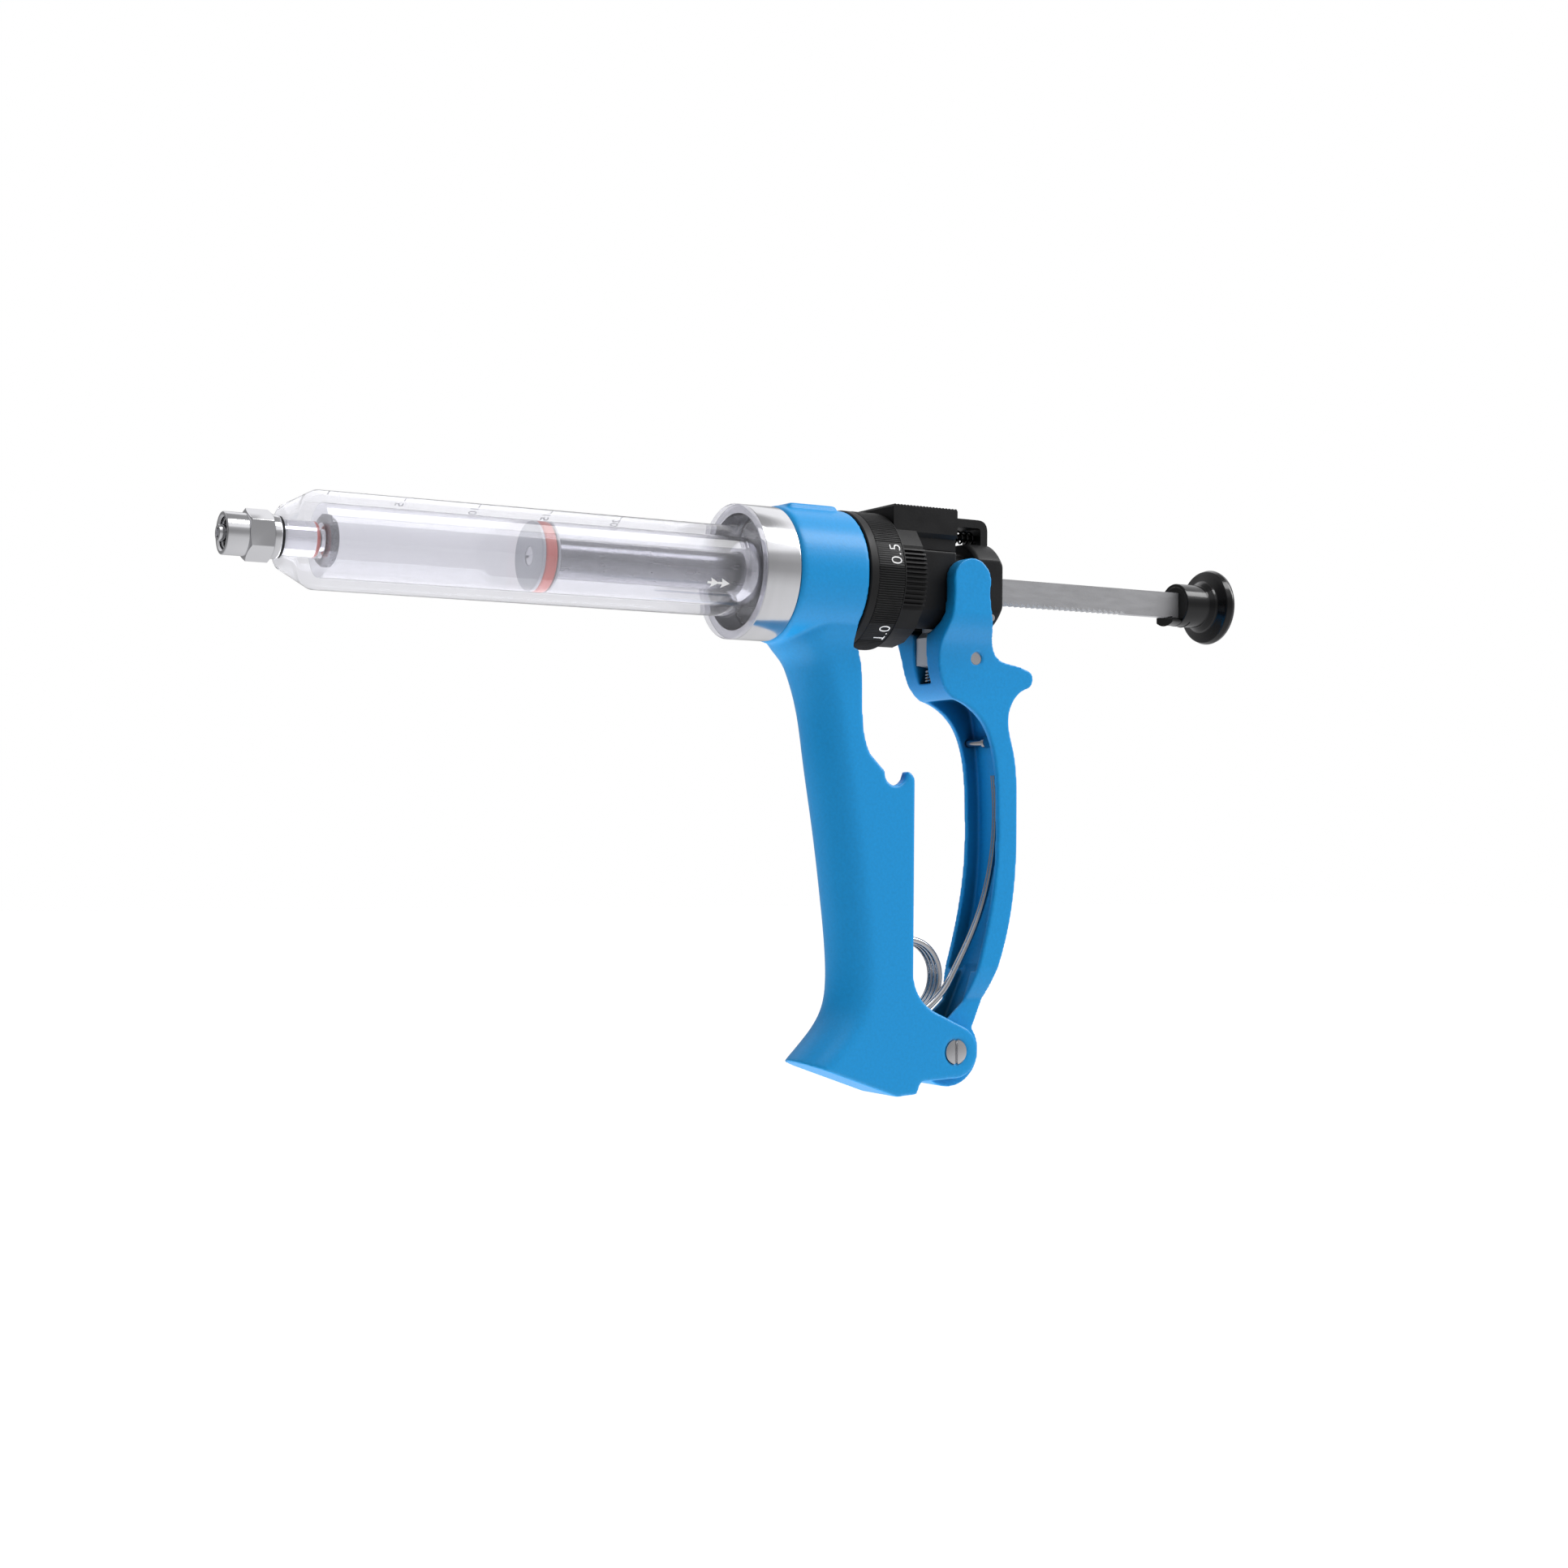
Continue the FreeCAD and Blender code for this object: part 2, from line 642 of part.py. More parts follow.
def knob():
    """Thumb disc with a hollow-fronted collar and a tongue under the rack."""
    start = BACK + S.knob_start
    disc = BACK + S.knob_end - S.knob_thick
    neck = start + S.knob_collar_length
    bevel = S.knob_thick * 0.42
    disc_body = new_body()
    revolve(disc_body, sketch(disc_body, "XZ_Plane", [
        (start, 0), (start, S.knob_collar), (neck - 0.6, S.knob_collar), (neck, S.knob_collar + 1.1),
        (disc, S.knob_collar + 1.2), (disc, S.knob_radius - 1.2), (disc + bevel * 0.6, S.knob_radius - 0.2),
        (disc + bevel, S.knob_radius), (disc + bevel * 1.6, S.knob_radius - 0.3),
        (disc + S.knob_thick, S.knob_radius - 2.0), (disc + S.knob_thick, 0),
    ]))
    tongue = common(cylinder(S.knob_collar, S.tongue_reach + 2.0, x=start - S.tongue_reach),
                    block(start - S.tongue_reach, start + 2.0, S.tongue_half,
                          -S.knob_collar, -(S.rack_bottom + S.slip_fit)))
    hollow = cylinder(S.knob_hollow, S.knob_hollow_depth, x=start)
    slot = block(start - 1.0, BACK + S.rack_end + S.slip_fit, S.rack_thick / 2 + S.slip_fit / 2,
                 -(S.rack_bottom + S.slip_fit / 2), S.rack_top + S.slip_fit / 2)
    pin = cylinder(1.0 + S.run_fit, BIG, x=BACK + S.rack_end - 2.4, y=-BIG / 2, axis="Y")
    keep(cut(fuse(disc_body, tongue), hollow, slot, pin), "knob")
    half = S.knob_collar - 0.3
    keep(cylinder(1.0, half * 2, x=BACK + S.rack_end - 2.4, y=-half, axis="Y"), "knob_pin")


# ---------------------------------------------------------------- housing and handle

# Front line of the handle: (height, front x, half width over S.grip_half), top to bottom.
GRIP_STATIONS = [
    (-8.0, 0.2, 5.4), (-13.0, 0.4, 3.6), (-16.4, 0.8, 2.1), (-19.0, 2.2, 1.1), (-22.5, 5.3, 0.45),
    (-27.3, 7.7, 0.1), (-33.0, 9.6, 0.0), (-48.0, 12.4, 0.0), (-67.0, 15.6, 0.0), (-88.0, 18.6, 0.0),
    (-104.7, 20.2, 0.0), (-111.0, 20.1, 0.0), (-116.6, 18.8, 0.0), (-122.6, 14.9, 0.0),
    (-127.8, 9.9, 0.0), (-132.0, 6.0, 0.0), (-143.0, -4.0, 0.0),
]


def handle_section(height, front, half, back):
    """Horizontal section: half a circle in front, straight sides, open towards the back."""
    left, right = Vector(front + half, -half, height), Vector(front + half, half, height)
    low, high = Vector(back, -half, height), Vector(back, half, height)
    nose = Part.Arc(left, Vector(front, 0, height), right).toShape()
    return Part.Wire([Part.LineSegment(low, left).toShape(), nose,
                      Part.LineSegment(right, high).toShape(), Part.LineSegment(high, low).toShape()])


def handle():
    """The handle with its ears, before the drum is joined to it."""
    half = S.grip_half.value
    rear = S.grip_rear.value
    pivot = pivot_point(SHIFT.value)
    ear = S.ear_radius.value
    drum_end = S.housing_length.value
    front_limit = -30.0
    sections = [handle_section(drop(z), x, half + more, BIG + 10.0) for z, x, more in GRIP_STATIONS]
    envelope = Part.makeLoft(sections, True, False)
    back_of_neck = [at(drum_end + 1.7, -19.3), at(24.5, -33.0), at(25.8, -44.4), at(27.0, -47.2)]
    ear_foot = at(44.1, -135.8)
    shoulder = [at(rear - 2.9, -51.7), at(rear - 0.8, -52.5), at(rear, -54.6)]
    outline = polyline([at(27.0, -47.2), at(31.4, -51.5), shoulder[0]])
    outline += [Part.Arc(*shoulder).toShape()]
    outline += polyline([shoulder[-1], at(rear, -107.5)])
    outline += [curve([at(rear, -107.5), at(rear + 2.2, -113.0), at(rear + 7.1, -117.0)])]
    slope = math.radians(66)
    tangent = pivot + at(ear * math.cos(slope), ear * math.sin(slope))
    outline += polyline([at(rear + 7.1, -117.0), tangent])
    outline += [Part.Arc(tangent, pivot + at(ear, 0), pivot + at(0, -ear)).toShape()]
    outline += polyline([pivot + at(0, -ear), ear_foot, at(42.6, -139.2), at(36.3, -139.6),
                         at(8.0, -129.6), at(front_limit, -116.0), at(front_limit, -5.0),
                         at(drum_end, -5.0), at(drum_end, -19.3), at(drum_end + 1.7, -19.3)])
    outline += [curve(back_of_neck)]
    side = prism(outline, BIG)
    solid = envelope.common(side)
    gap = S.ear_gap.value
    slot_x = ear_foot.x - 0.6
    slot = Part.makeBox(BIG, 2 * gap, drop(-105) - drop(-145), Vector(slot_x, -gap, drop(-145)))
    top, foot = drop(HOLLOW_TOP), drop(HOLLOW_FOOT)
    hollow = Part.makeBox(BIG, 2 * gap, top - foot, Vector(rear - HOLLOW_DEEP, -gap, foot))
    notch = Part.makeCylinder(S.notch_radius.value, BIG,
                              Vector(rear - 6.2, -BIG / 2, drop(-52.2)), Vector(0, 1, 0))
    return solid.cut(slot).cut(hollow).cut(notch)


def grip_housing():
    """Drum, pad and handle in one moulding, with the pivot holes and the screw holes."""
    length = S.housing_length.value
    radius = S.housing_radius.value
    wall = S.housing_wall.value
    along = Vector(1, 0, 0)
    rim = Part.makeCylinder(radius, length, Vector(0, 0, 0), along)
    rim = rim.makeFillet(1.4, [min(rim.Edges, key=lambda e: e.CenterOfMass.x)])
    raised = Part.makeBox(15, 14, 4, Vector(2.4, -7, radius - 3.6))
    solid = rim.fuse(handle()).fuse(raised.makeFillet(1.0, raised.Edges)).removeSplitter()
    solid = solid.cut(Part.makeCylinder(S.housing_bore.value, length, Vector(wall, 0, 0), along))
    solid = solid.cut(Part.makeCylinder(S.guide_flange.value, length, Vector(-1, 0, 0), along))
    for x, z in screw_places():
        solid = solid.cut(Part.makeCylinder(1.3, 2 * wall, Vector(-wall / 2, x, z), along))
    detent = detent_place()
    hole = Part.makeCylinder(DETENT_BALL + 0.05, 7.0, Vector(length - 6.9, 0, detent), along)
    solid = solid.cut(hole)
    pivot = pivot_point(SHIFT.value) - Vector(0, BIG / 2, 0)
    solid = solid.cut(Part.makeCylinder(S.pivot_radius.value + 0.02, BIG, pivot, Vector(0, 1, 0)))
    for side in (-1, 1):
        outer = side * S.grip_half.value
        sink = Part.makeCylinder(S.pivot_head.value + 0.1, 2 * SINK_DEEP,
                                 Vector(pivot.x, outer - SINK_DEEP, pivot.z), Vector(0, 1, 0))
        solid = solid.cut(sink)
    shaped("grip_housing", solid, FACE)


def screw_places():
    """Three screw axes as (y, z) on their circle."""
    angles = [math.radians(a) for a in (30, 150, 270)]
    return [(SCREW_CIRCLE * math.cos(a), SCREW_CIRCLE * math.sin(a)) for a in angles]


def detent_place():
    return (S.housing_bore.value + S.housing_radius.value) / 2


def housing_screws():
    """Three screws that hold the mechanism sleeve to the drum's front wall."""
    parts = []
    for y, z in screw_places():
        parts.append(cylinder(1.25, S.housing_wall + 4.0, x=FACE + 0.1, y=y, z=z))
    group = doc.addObject("Part::Compound", "Screws")
    group.Links = parts
    keep(group, "housing_screws")


def detent():
    ball = doc.addObject("Part::Sphere", "Ball")
    ball.Radius = DETENT_BALL
    place(ball, x=FACE + S.housing_length - DETENT_BALL, z=(S.housing_bore + S.housing_radius) / 2)
    keep(ball, "detent_ball")
    start = Vector((FACE + S.housing_length).value - 6.8, 0, detent_place())
    coil("detent_spring", start, Vector(1, 0, 0), 0.8, 0.15, 4.3, 5)


# ---------------------------------------------------------------- mechanism

def mechanism_housing():
    """Black body: sleeve for the dose ring, block between the arms, neck and rear drum."""
    sleeve_start = FACE + S.housing_wall + S.slip_fit
    sleeve_end = FACE + S.housing_length + S.dose_ring_length + RING_GAP + S.collar_length
    flange_end = sleeve_start + 5.4
    sleeve = fuse(cylinder(S.housing_bore - S.slip_fit, flange_end - sleeve_start, x=sleeve_start),
                  cylinder(S.sleeve_radius, sleeve_end - sleeve_start, x=sleeve_start))
    body_end = BACK + S.body_end
    belly = common(block(sleeve_end - 1.0, body_end, S.body_half, -S.body_bottom, 1.0),
                   cylinder(S.tail_radius, BIG * 2, x=FACE - BIG))
    flanks = block(sleeve_end, body_end, S.body_half, -S.flank_drop, S.skirt_low)
    crown = block(sleeve_end, body_end, S.skirt_half - S.side_gap, 0.0, S.body_top)
    neck = cylinder(S.neck_radius, S.tail_start - S.body_end + 2.0, x=body_end - 1.0)
    tail_end = S.tail_start + S.tail_length
    tail = common(tail_drum(), block(BACK + S.tail_start, BACK + tail_end, S.tail_half,
                                     -S.tail_radius, S.guard_foot))
    top = block(BACK + S.slide_start - S.side_gap, body_end + 1.0, BIG, S.body_top, BIG)
    bore_end = body_end - 2.5
    bore = cylinder(S.rod_radius + S.slip_fit, bore_end - sleeve_start + 1.0, x=sleeve_start - 1.0)
    channel = block(bore_end - 1.0, BACK + tail_end + 1.0, S.rack_thick / 2 + S.rack_clear,
                    -(S.rack_bottom + S.rack_clear), S.rack_top + S.rack_clear)
    feed = block(BACK + FEED_FRONT, body_end + 4.5, S.pawl_half + 0.4, -BIG / 2, -2.0)
    check = block(BACK + S.tail_start - 0.2, BACK + S.tail_start + 7.8, S.check_half + S.side_gap,
                  -S.tail_radius + 1.5, -2.0)
    pin = cylinder(S.check_pin_radius + 0.02, BIG, x=BACK + S.check_pin_x, y=-BIG / 2,
                   z=-S.check_pin_drop, axis="Y")
    holes = [cylinder(1.27, 4.5, x=sleeve_start - 0.5, y=y, z=z) for y, z in screw_places()]
    solid = fuse(sleeve, belly, flanks, crown, neck, tail)
    keep(cut(solid, top, bore, channel, feed, check, pin, *holes), "mechanism_housing")


def tail_drum():
    start = BACK + S.tail_start
    end = start + S.tail_length
    body = new_body()
    revolve(body, sketch(body, "XZ_Plane", [
        (start, 0), (start, S.tail_radius - 0.8), (start + 0.8, S.tail_radius),
        (end - 1.0, S.tail_radius), (end, S.tail_radius - 1.0), (end, 0),
    ]))
    return body


def dose_parts():
    """Dose ring with five detent dimples, and the stepped cam that turns with it."""
    start = S.housing_length + 0.2
    inner = S.sleeve_radius + S.run_fit
    ring = new_body()
    revolve(ring, sketch(ring, "XZ_Plane", [
        (FACE + start, inner), (FACE + start, S.dose_radius - 0.4), (FACE + start + 0.4, S.dose_radius),
        (FACE + start + S.dose_ring_length - 0.4, S.dose_radius),
        (FACE + start + S.dose_ring_length, S.dose_radius - 0.4),
        (FACE + start + S.dose_ring_length, inner),
    ]))
    dimples = []
    for step in range(5):
        angle = math.radians(72 * step)
        dimple = doc.addObject("Part::Sphere", "Dimple")
        dimple.Radius = DETENT_BALL + 0.2
        middle = (S.housing_bore + S.housing_radius) / 2
        place(dimple, x=FACE + S.housing_length - DETENT_BALL + 0.4,
              y=middle * math.sin(angle), z=middle * math.cos(angle))
        dimples.append(dimple)
    keep(cut(ring, *dimples), "dose_ring")
    cam_front = FACE + S.housing_wall + S.slip_fit + 5.4 + S.side_gap
    cam_end = FACE + start - 0.02
    sectors = []
    for step in range(5):
        length = cam_end - cam_front - S.tooth_pitch * step
        sector = cylinder(S.housing_bore - S.side_gap, length, x=cam_end - length)
        sector.Angle = 72
        sector.Placement = Placement(Vector(), Rotation(Vector(1, 0, 0), 72 * step).multiply(AXES["X"]))
        sectors.append(sector)
    keep(cut(fuse(*sectors), cylinder(inner, BIG, x=cam_front - 1.0)), "dose_cam")


def stop_collar():
    """Ribbed collar that stops the fork arms at the end of the stroke."""
    start = FACE + S.housing_length + S.dose_ring_length + 0.5
    end = start + S.collar_length
    body = new_body()
    revolve(body, sketch(body, "XZ_Plane", [
        (start, S.sleeve_radius + S.slip_fit), (start, S.collar_radius - 0.3),
        (start + 0.3, S.collar_radius), (end - 0.6, S.collar_radius), (end, S.collar_radius - 0.6),
        (end, S.sleeve_radius + S.slip_fit),
    ]))
    seat = block(start - 1.0, end + 1.0, S.slide_half + S.side_gap, S.body_top + 0.1, BIG)
    keep(cut(body, seat), "stop_collar")


def release_slide():
    """Thumb block; it slides back over the guard and its spring."""
    start = BACK + S.slide_start
    end = start + S.slide_length
    low = S.body_top + S.side_gap
    skirt_start = FACE + S.housing_length + S.dose_ring_length + RING_GAP + S.collar_length + S.side_gap
    solid = fuse(block(start, end, S.slide_half, low, S.slide_top),
                 block(skirt_start, end, S.body_half, S.skirt_low + S.side_gap, low))
    hollow = block(start + 5.4, end + 1.0, S.slide_hollow, low - 1.0, S.guard_top + S.side_gap)
    saddle = block(skirt_start - 1.0, end + 1.0, S.skirt_half, S.skirt_low, low)
    keep(cut(solid, hollow, saddle), "release_slide")
    middle = (low + S.guard_top - S.guard_thick) / 2
    end_leg = BACK + S.guard_end - S.guard_thick
    plate = block(BACK + GUARD_START, BACK + S.guard_end, S.guard_half, S.guard_top - S.guard_thick,
                  S.guard_top)
    leg = block(end_leg, BACK + S.guard_end, S.guard_half, S.guard_foot, S.guard_top)
    rod = cylinder(0.9, end_leg + 0.5 - (start + 5.4 + S.slide_travel + 0.6),
                   x=start + 5.4 + S.slide_travel + 0.6, z=middle)
    keep(fuse(plate, leg, rod), "guard_bracket")
    spring_start = Vector((start + 5.5).value, 0, middle.value)
    length = (end_leg - start - 5.4).value - 0.2
    coil("release_spring", spring_start, Vector(1, 0, 0), 1.6, 0.3, length, 15)


def check_pawl():
    """Anti-return pawl under the rack, on its own pin, pushed up by a small spring."""
    body = new_body(BACK)
    pin = (S.check_pin_x, -S.check_pin_drop)
    pad(body, sketch(body, "XZ_Plane", [
        (pin[0] - 4.4, pin[1] + 2.6), (pin[0] - 4.0, pin[1] + 4.3), (pin[0] - 2.2, pin[1] + 3.4),
        (pin[0] + 0.8, pin[1] + 1.9), (pin[0] + 0.8, pin[1] - 1.9), (pin[0] - 3.8, pin[1] + 1.2),
    ]), S.check_half * 2)
    doc.recompute()
    pad(body, circle_sketch(body, "XZ_Plane", 2.1, *pin), S.check_half * 2)
    hole = circle_sketch(body, "XZ_Plane", S.check_pin_radius + S.run_fit, *pin)
    pocket(body, hole, S.check_half * 4)
    keep(body, "check_pawl")
    half = S.tail_half - 0.3
    keep(cylinder(S.check_pin_radius, half * 2, x=BACK + pin[0], y=-half, z=pin[1], axis="Y"),
         "check_pawl_pin")
    foot = (1.5 - S.tail_radius).value + 0.05
    start = Vector((BACK + pin[0]).value - 3.5, 0, foot)
    coil("check_spring", start, Vector(0, 0, 1), 0.75, 0.15, 3.0, 4)


# ---------------------------------------------------------------- lever

def lever():
    """Fork arms, finger channel and foot, cut from a side outline and a front outline."""
    outer = S.arm_outer.value
    half = S.lever_half.value
    foot = S.lever_foot.value
    pivot = pivot_point()
    boss = S.boss_radius.value
    arm_front, arm_rear, arm_top = at(49.6, 0.6), at(61.6, 0.6), at(55.6, 6.6)
    lip = at(54.0, -31.4)
    heel = pivot + at(boss * math.cos(math.radians(38)), boss * math.sin(math.radians(38)))
    toe = pivot + at(-boss, 0)
    side = prism([
        Part.Arc(arm_front, arm_top, arm_rear).toShape(),
        curve([arm_front, at(49.3, -8.0), at(48.4, -16.0), at(48.7, -21.5), at(50.2, -27.2), lip]),
        curve([lip, at(59.3, -33.6), at(64.1, -37.8), at(67.7, -45.7), at(69.3, -60.5),
               at(69.2, -75.5), at(66.3, -94.0), at(60.1, -114.6)]),
        *polyline([at(60.1, -114.6), toe]),
        Part.Arc(toe, pivot + at(0, -boss), heel).toShape(),
        curve([heel, at(67.0, -112.4), at(72.2, -97.9), at(75.6, -75.5), at(75.7, -60.5),
               at(74.5, -45.5), at(72.7, -36.2), at(74.9, -30.6), at(78.4, -27.9)]),
        Part.Arc(at(78.4, -27.9), at(80.6, -25.4), at(78.3, -22.6)).toShape(),
        curve([at(78.3, -22.6), at(73.4, -21.4), at(68.2, -19.9), at(64.6, -15.0), at(62.0, -8.0), arm_rear]),
    ], outer)
    front = []
    for sign in (-1, 1):
        def flank(y, z):
            return Vector(0, sign * y, drop(z))
        front += [Part.LineSegment(flank(0, 8), flank(outer, 8)).toShape(),
                  Part.LineSegment(flank(outer, 8), flank(outer, -8.5)).toShape(),
                  curve([flank(outer, -8.5), flank(13.9, -12.4), flank(11.1, -16.4),
                         flank(9.3, -22.5), flank(half, -30.0)]),
                  Part.LineSegment(flank(half, -30), flank(half, -105)).toShape(),
                  curve([flank(half, -105), flank(7.4, -109.5), flank(foot, -114)]),
                  Part.LineSegment(flank(foot, -114), flank(foot, -150)).toShape(),
                  Part.LineSegment(flank(foot, -150), flank(0, -150)).toShape()]
    width = Part.Face(Part.Wire(Part.__sortEdges__(front))).extrude(Vector(100, 0, 0))
    solid = side.common(width)
    solid = solid.cut(fork_gap()).cut(pawl_slot()).cut(finger_channel())
    along = Vector(0, 1, 0)
    drilled = [
        (S.pivot_radius.value + S.run_fit.value, pivot),
        (S.pawl_pin_radius.value + 0.02, at(S.pawl_pin_x.value, -S.pawl_pin_drop.value)),
    ]
    for radius, centre in drilled:
        solid = solid.cut(Part.makeCylinder(radius, BIG, centre - Vector(0, BIG / 2, 0), along))
    stud = stud_place()
    solid = solid.cut(Part.makeCylinder(1.02, BIG, stud, along))
    shaped("lever", solid.removeSplitter(), BACK)


def stud_place():
    return at(69.6, -42.8)


def fork_gap():
    """Space between the arms for the mechanism's block and rear drum."""
    inner = S.arm_inner.value
    round_part = Part.makeCylinder(S.tail_radius.value + 0.9, 60, Vector(40, 0, 0), Vector(1, 0, 0))
    limit = Part.makeBox(60, 2 * inner, 60, Vector(40, -inner, -30))
    upper = Part.makeBox(60, 2 * inner, 30, Vector(40, -inner, -8))
    return round_part.common(limit).fuse(upper)


def pawl_slot():
    """Slot in the lever's web where the feed pawl swings."""
    half = S.pawl_half.value + 0.25
    deep = S.pawl_pin_x.value + 4.2
    low = Part.makeBox(57.0 - 44.0, 2 * half, 17, Vector(44, -half, -27))
    hub = Part.makeBox(deep - 50.0, 2 * half, 14.5, Vector(50, -half, -24.5))
    return low.fuse(hub)


def finger_channel():
    """Hollow of the finger part, open to the front."""
    half = S.lever_half.value - S.lever_wall.value
    edges = [curve([at(53.0, -31.9), at(60.0, -30.6), at(67.5, -31.2), at(70.6, -36.0)]),
             curve([at(70.6, -36.0), at(72.2, -45.5), at(73.4, -60.5), at(73.3, -75.5),
                    at(69.9, -97.6), at(66.3, -106.5)])]
    edges += polyline([at(66.3, -106.5), at(45.0, -106.5), at(45.0, -40.0), at(53.0, -31.9)])
    return prism(edges, half)


def lever_fasteners():
    """Slotted pivot screw from the near side, its nut on the far side, pawl pin and spring stud."""
    outer = S.grip_half + S.slip_fit
    x = BACK + S.pivot_x
    z = -S.pivot_drop
    sink = S.grip_half - SINK_DEEP
    shank = cylinder(S.pivot_radius, sink * 2 + 0.6, x=x, y=-sink - 0.1, z=z, axis="Y")
    head = cylinder(S.pivot_head, outer - sink, x=x, y=-outer, z=z, axis="Y")
    slot = block(x - 0.45, x + 0.45, BIG / 2, z - BIG / 8, z + BIG / 8)
    bind(slot, "Placement.Base.y", -(outer + BIG) + 0.7)
    keep(cut(fuse(shank, head), slot), "pivot_screw")
    nut = cut(cylinder(S.pivot_head, SINK_DEEP, x=x, y=sink, z=z, axis="Y"),
              cylinder(S.pivot_radius + 0.02, 3 * SINK_DEEP, x=x, y=sink - SINK_DEEP, z=z, axis="Y"))
    keep(nut, "pivot_nut")
    half = S.pawl_half * PIN_REACH
    keep(cylinder(S.pawl_pin_radius, half * 2, x=BACK + S.pawl_pin_x, y=-half,
                  z=-S.pawl_pin_drop, axis="Y"), "pawl_pin")
    stud = stud_place()
    wall = S.lever_half - S.lever_wall
    head = cylinder(1.6, 1.2, x=BACK + stud.x, y=-2.6, z=stud.z, axis="Y")
    shank = cylinder(1.0, wall + 2.6 + 1.2, x=BACK + stud.x, y=-2.4, z=stud.z, axis="Y")
    keep(fuse(head, shank), "spring_stud")


def feed_pawl():
    """Silver pawl in the lever's web; its nose stands just under the rack teeth."""
    x = S.pawl_pin_x
    z = -S.pawl_pin_drop
    body = new_body(BACK)
    pad(body, sketch(body, "XZ_Plane", [
        (x - 11.7, z - 1.9), (x - 11.7, z + 5.6), (x - 9.9, z + 7.4), (x - 9.9, z + 13.4),
        (x - 10.9, z + 15.6), (x - 8.6, z + 14.8), (x - 6.2, z + 10.6), (x - 5.4, z + 6.6),
        (x - 1.2, z + 3.2), (x - 1.2, z - 3.2),
    ]), S.pawl_half * 2)
    doc.recompute()
    pad(body, circle_sketch(body, "XZ_Plane", 3.6, x, z), S.pawl_half * 2)
    pocket(body, circle_sketch(body, "XZ_Plane", S.pawl_pin_radius + S.run_fit, x, z), S.pawl_half * 4)
    keep(body, "feed_pawl")
    start = Vector((BACK + x).value - 8.6, 0, -26.95)
    coil("pawl_spring", start, Vector(0, 0, 1), 1.5, 0.3, 4.0, 4)


def return_spring():
    """Torsion spring: coil across the handle, one leg up the handle, one up the lever."""
    wire = S.spring_wire.value
    mean = S.spring_coil.value
    pitch = 2 * wire + SPRING_GAP
    rise = pitch / 4
    height = S.spring_rise.value - S.pivot_drop.value
    centre = Vector(S.spring_x.value, -2 * rise * S.spring_turns.value, height)
    lead = half_turn(centre, mean, rise, 1, math.pi / 3)
    near = lead.valueAt(lead.FirstParameter)
    path = [lead]
    for i in range(int(2 * S.spring_turns.value)):
        side = -1 if i % 2 == 0 else 1
        path.append(half_turn(centre + Vector(0, 2 * rise * (i + 1), 0), mean, rise, side, 0))
    far = path[-1].valueAt(path[-1].LastParameter)
    path += polyline([far, far + Vector(0, 0, S.spring_leg.value * stretch())])
    shift = SHIFT.value
    leg = rounded_path([(near, 0), (near + at(6.0, 3.46), 5.0), (at(63.9 + shift, -97.0), 60.0),
                        (at(70.4 + shift, -76.2), 70.0), (at(72.1 + shift, -61.5), 60.0),
                        (at(71.3 + shift, -52.0), 0)], near.y)
    body = wire_along(path, wire).fuse(wire_along(leg, wire))
    body = body.fuse(Part.makeSphere(wire * JOINT_BEAD, near))
    shaped("return_spring", body, FACE)


def half_turn(centre, mean, rise, side, start):
    """Half a coil turn as one tilted arc; side +1 runs under the coil, -1 over it."""
    reach = math.hypot(mean, rise)
    def spot(angle):
        across = side * mean * math.cos(angle)
        return centre + Vector(across, -rise * math.cos(angle), -side * reach * math.sin(angle))
    middle = (start + math.pi) / 2
    return Part.Arc(spot(start), spot(middle), spot(math.pi)).toShape()


def wire_along(edges, radius):
    """Round wire along the edges, which run on smoothly from one to the next."""
    start = edges[0].valueAt(edges[0].FirstParameter)
    ring = Part.Circle(start, edges[0].tangentAt(edges[0].FirstParameter), radius)
    section = Part.Face(Part.Wire(ring.toShape()))
    return Part.Wire(edges).makePipe(section)


def rounded_path(corners, y):
    """Straight runs joined by tangent arcs, in the plane of constant y; corners are (point, radius)."""
    spots = [Vector(point.x, y, point.z) for point, radius in corners]
    edges = []
    reached = spots[0]
    for i in range(1, len(spots) - 1):
        back = (spots[i - 1] - spots[i]).normalize()
        ahead = (spots[i + 1] - spots[i]).normalize()
        half = back.getAngle(ahead) / 2
        radius = corners[i][1]
        start = spots[i] + back * (radius / math.tan(half))
        end = spots[i] + ahead * (radius / math.tan(half))
        inward = (back + ahead).normalize()
        middle = spots[i] + inward * (radius / math.sin(half) - radius)
        edges += polyline([reached, start])
        edges.append(Part.Arc(start, middle, end).toShape())
        reached = end
    return edges + polyline([reached, spots[-1]])


# ---------------------------------------------------------------- build


def main():
    barrel()
    barrel_ring()
    barrel_gasket()
    rod_guide()
    luer_fitting()
    nozzle_seals()
    nozzle_nut()
    piston()
    rod_pin()
    rack()
    knob()
    grip_housing()
    housing_screws()
    detent()
    mechanism_housing()
    dose_parts()
    stop_collar()
    release_slide()
    check_pawl()
    lever()
    lever_fasteners()
    feed_pawl()
    return_spring()
    doc.recompute()
    for thing in doc.Objects:
        if "Invalid" in thing.State or "Error" in thing.State:
            raise RuntimeError(f"{thing.Label} failed: {thing.State}")
    os.makedirs("parts", exist_ok=True)
    for node in nodes:
        shape = node.Shape
        if shape.isNull() or not shape.isValid() or not shape.Solids:
            raise RuntimeError(f"{node.Label} has no valid solid")
        print(f"{node.Label:20s} solids {len(shape.Solids)}  volume {shape.Volume:10.2f}")
        shape.exportStep(f"parts/{node.Label}.step")


main()
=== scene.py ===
import math
import bmesh
import bpy
from mathutils import Matrix, Vector


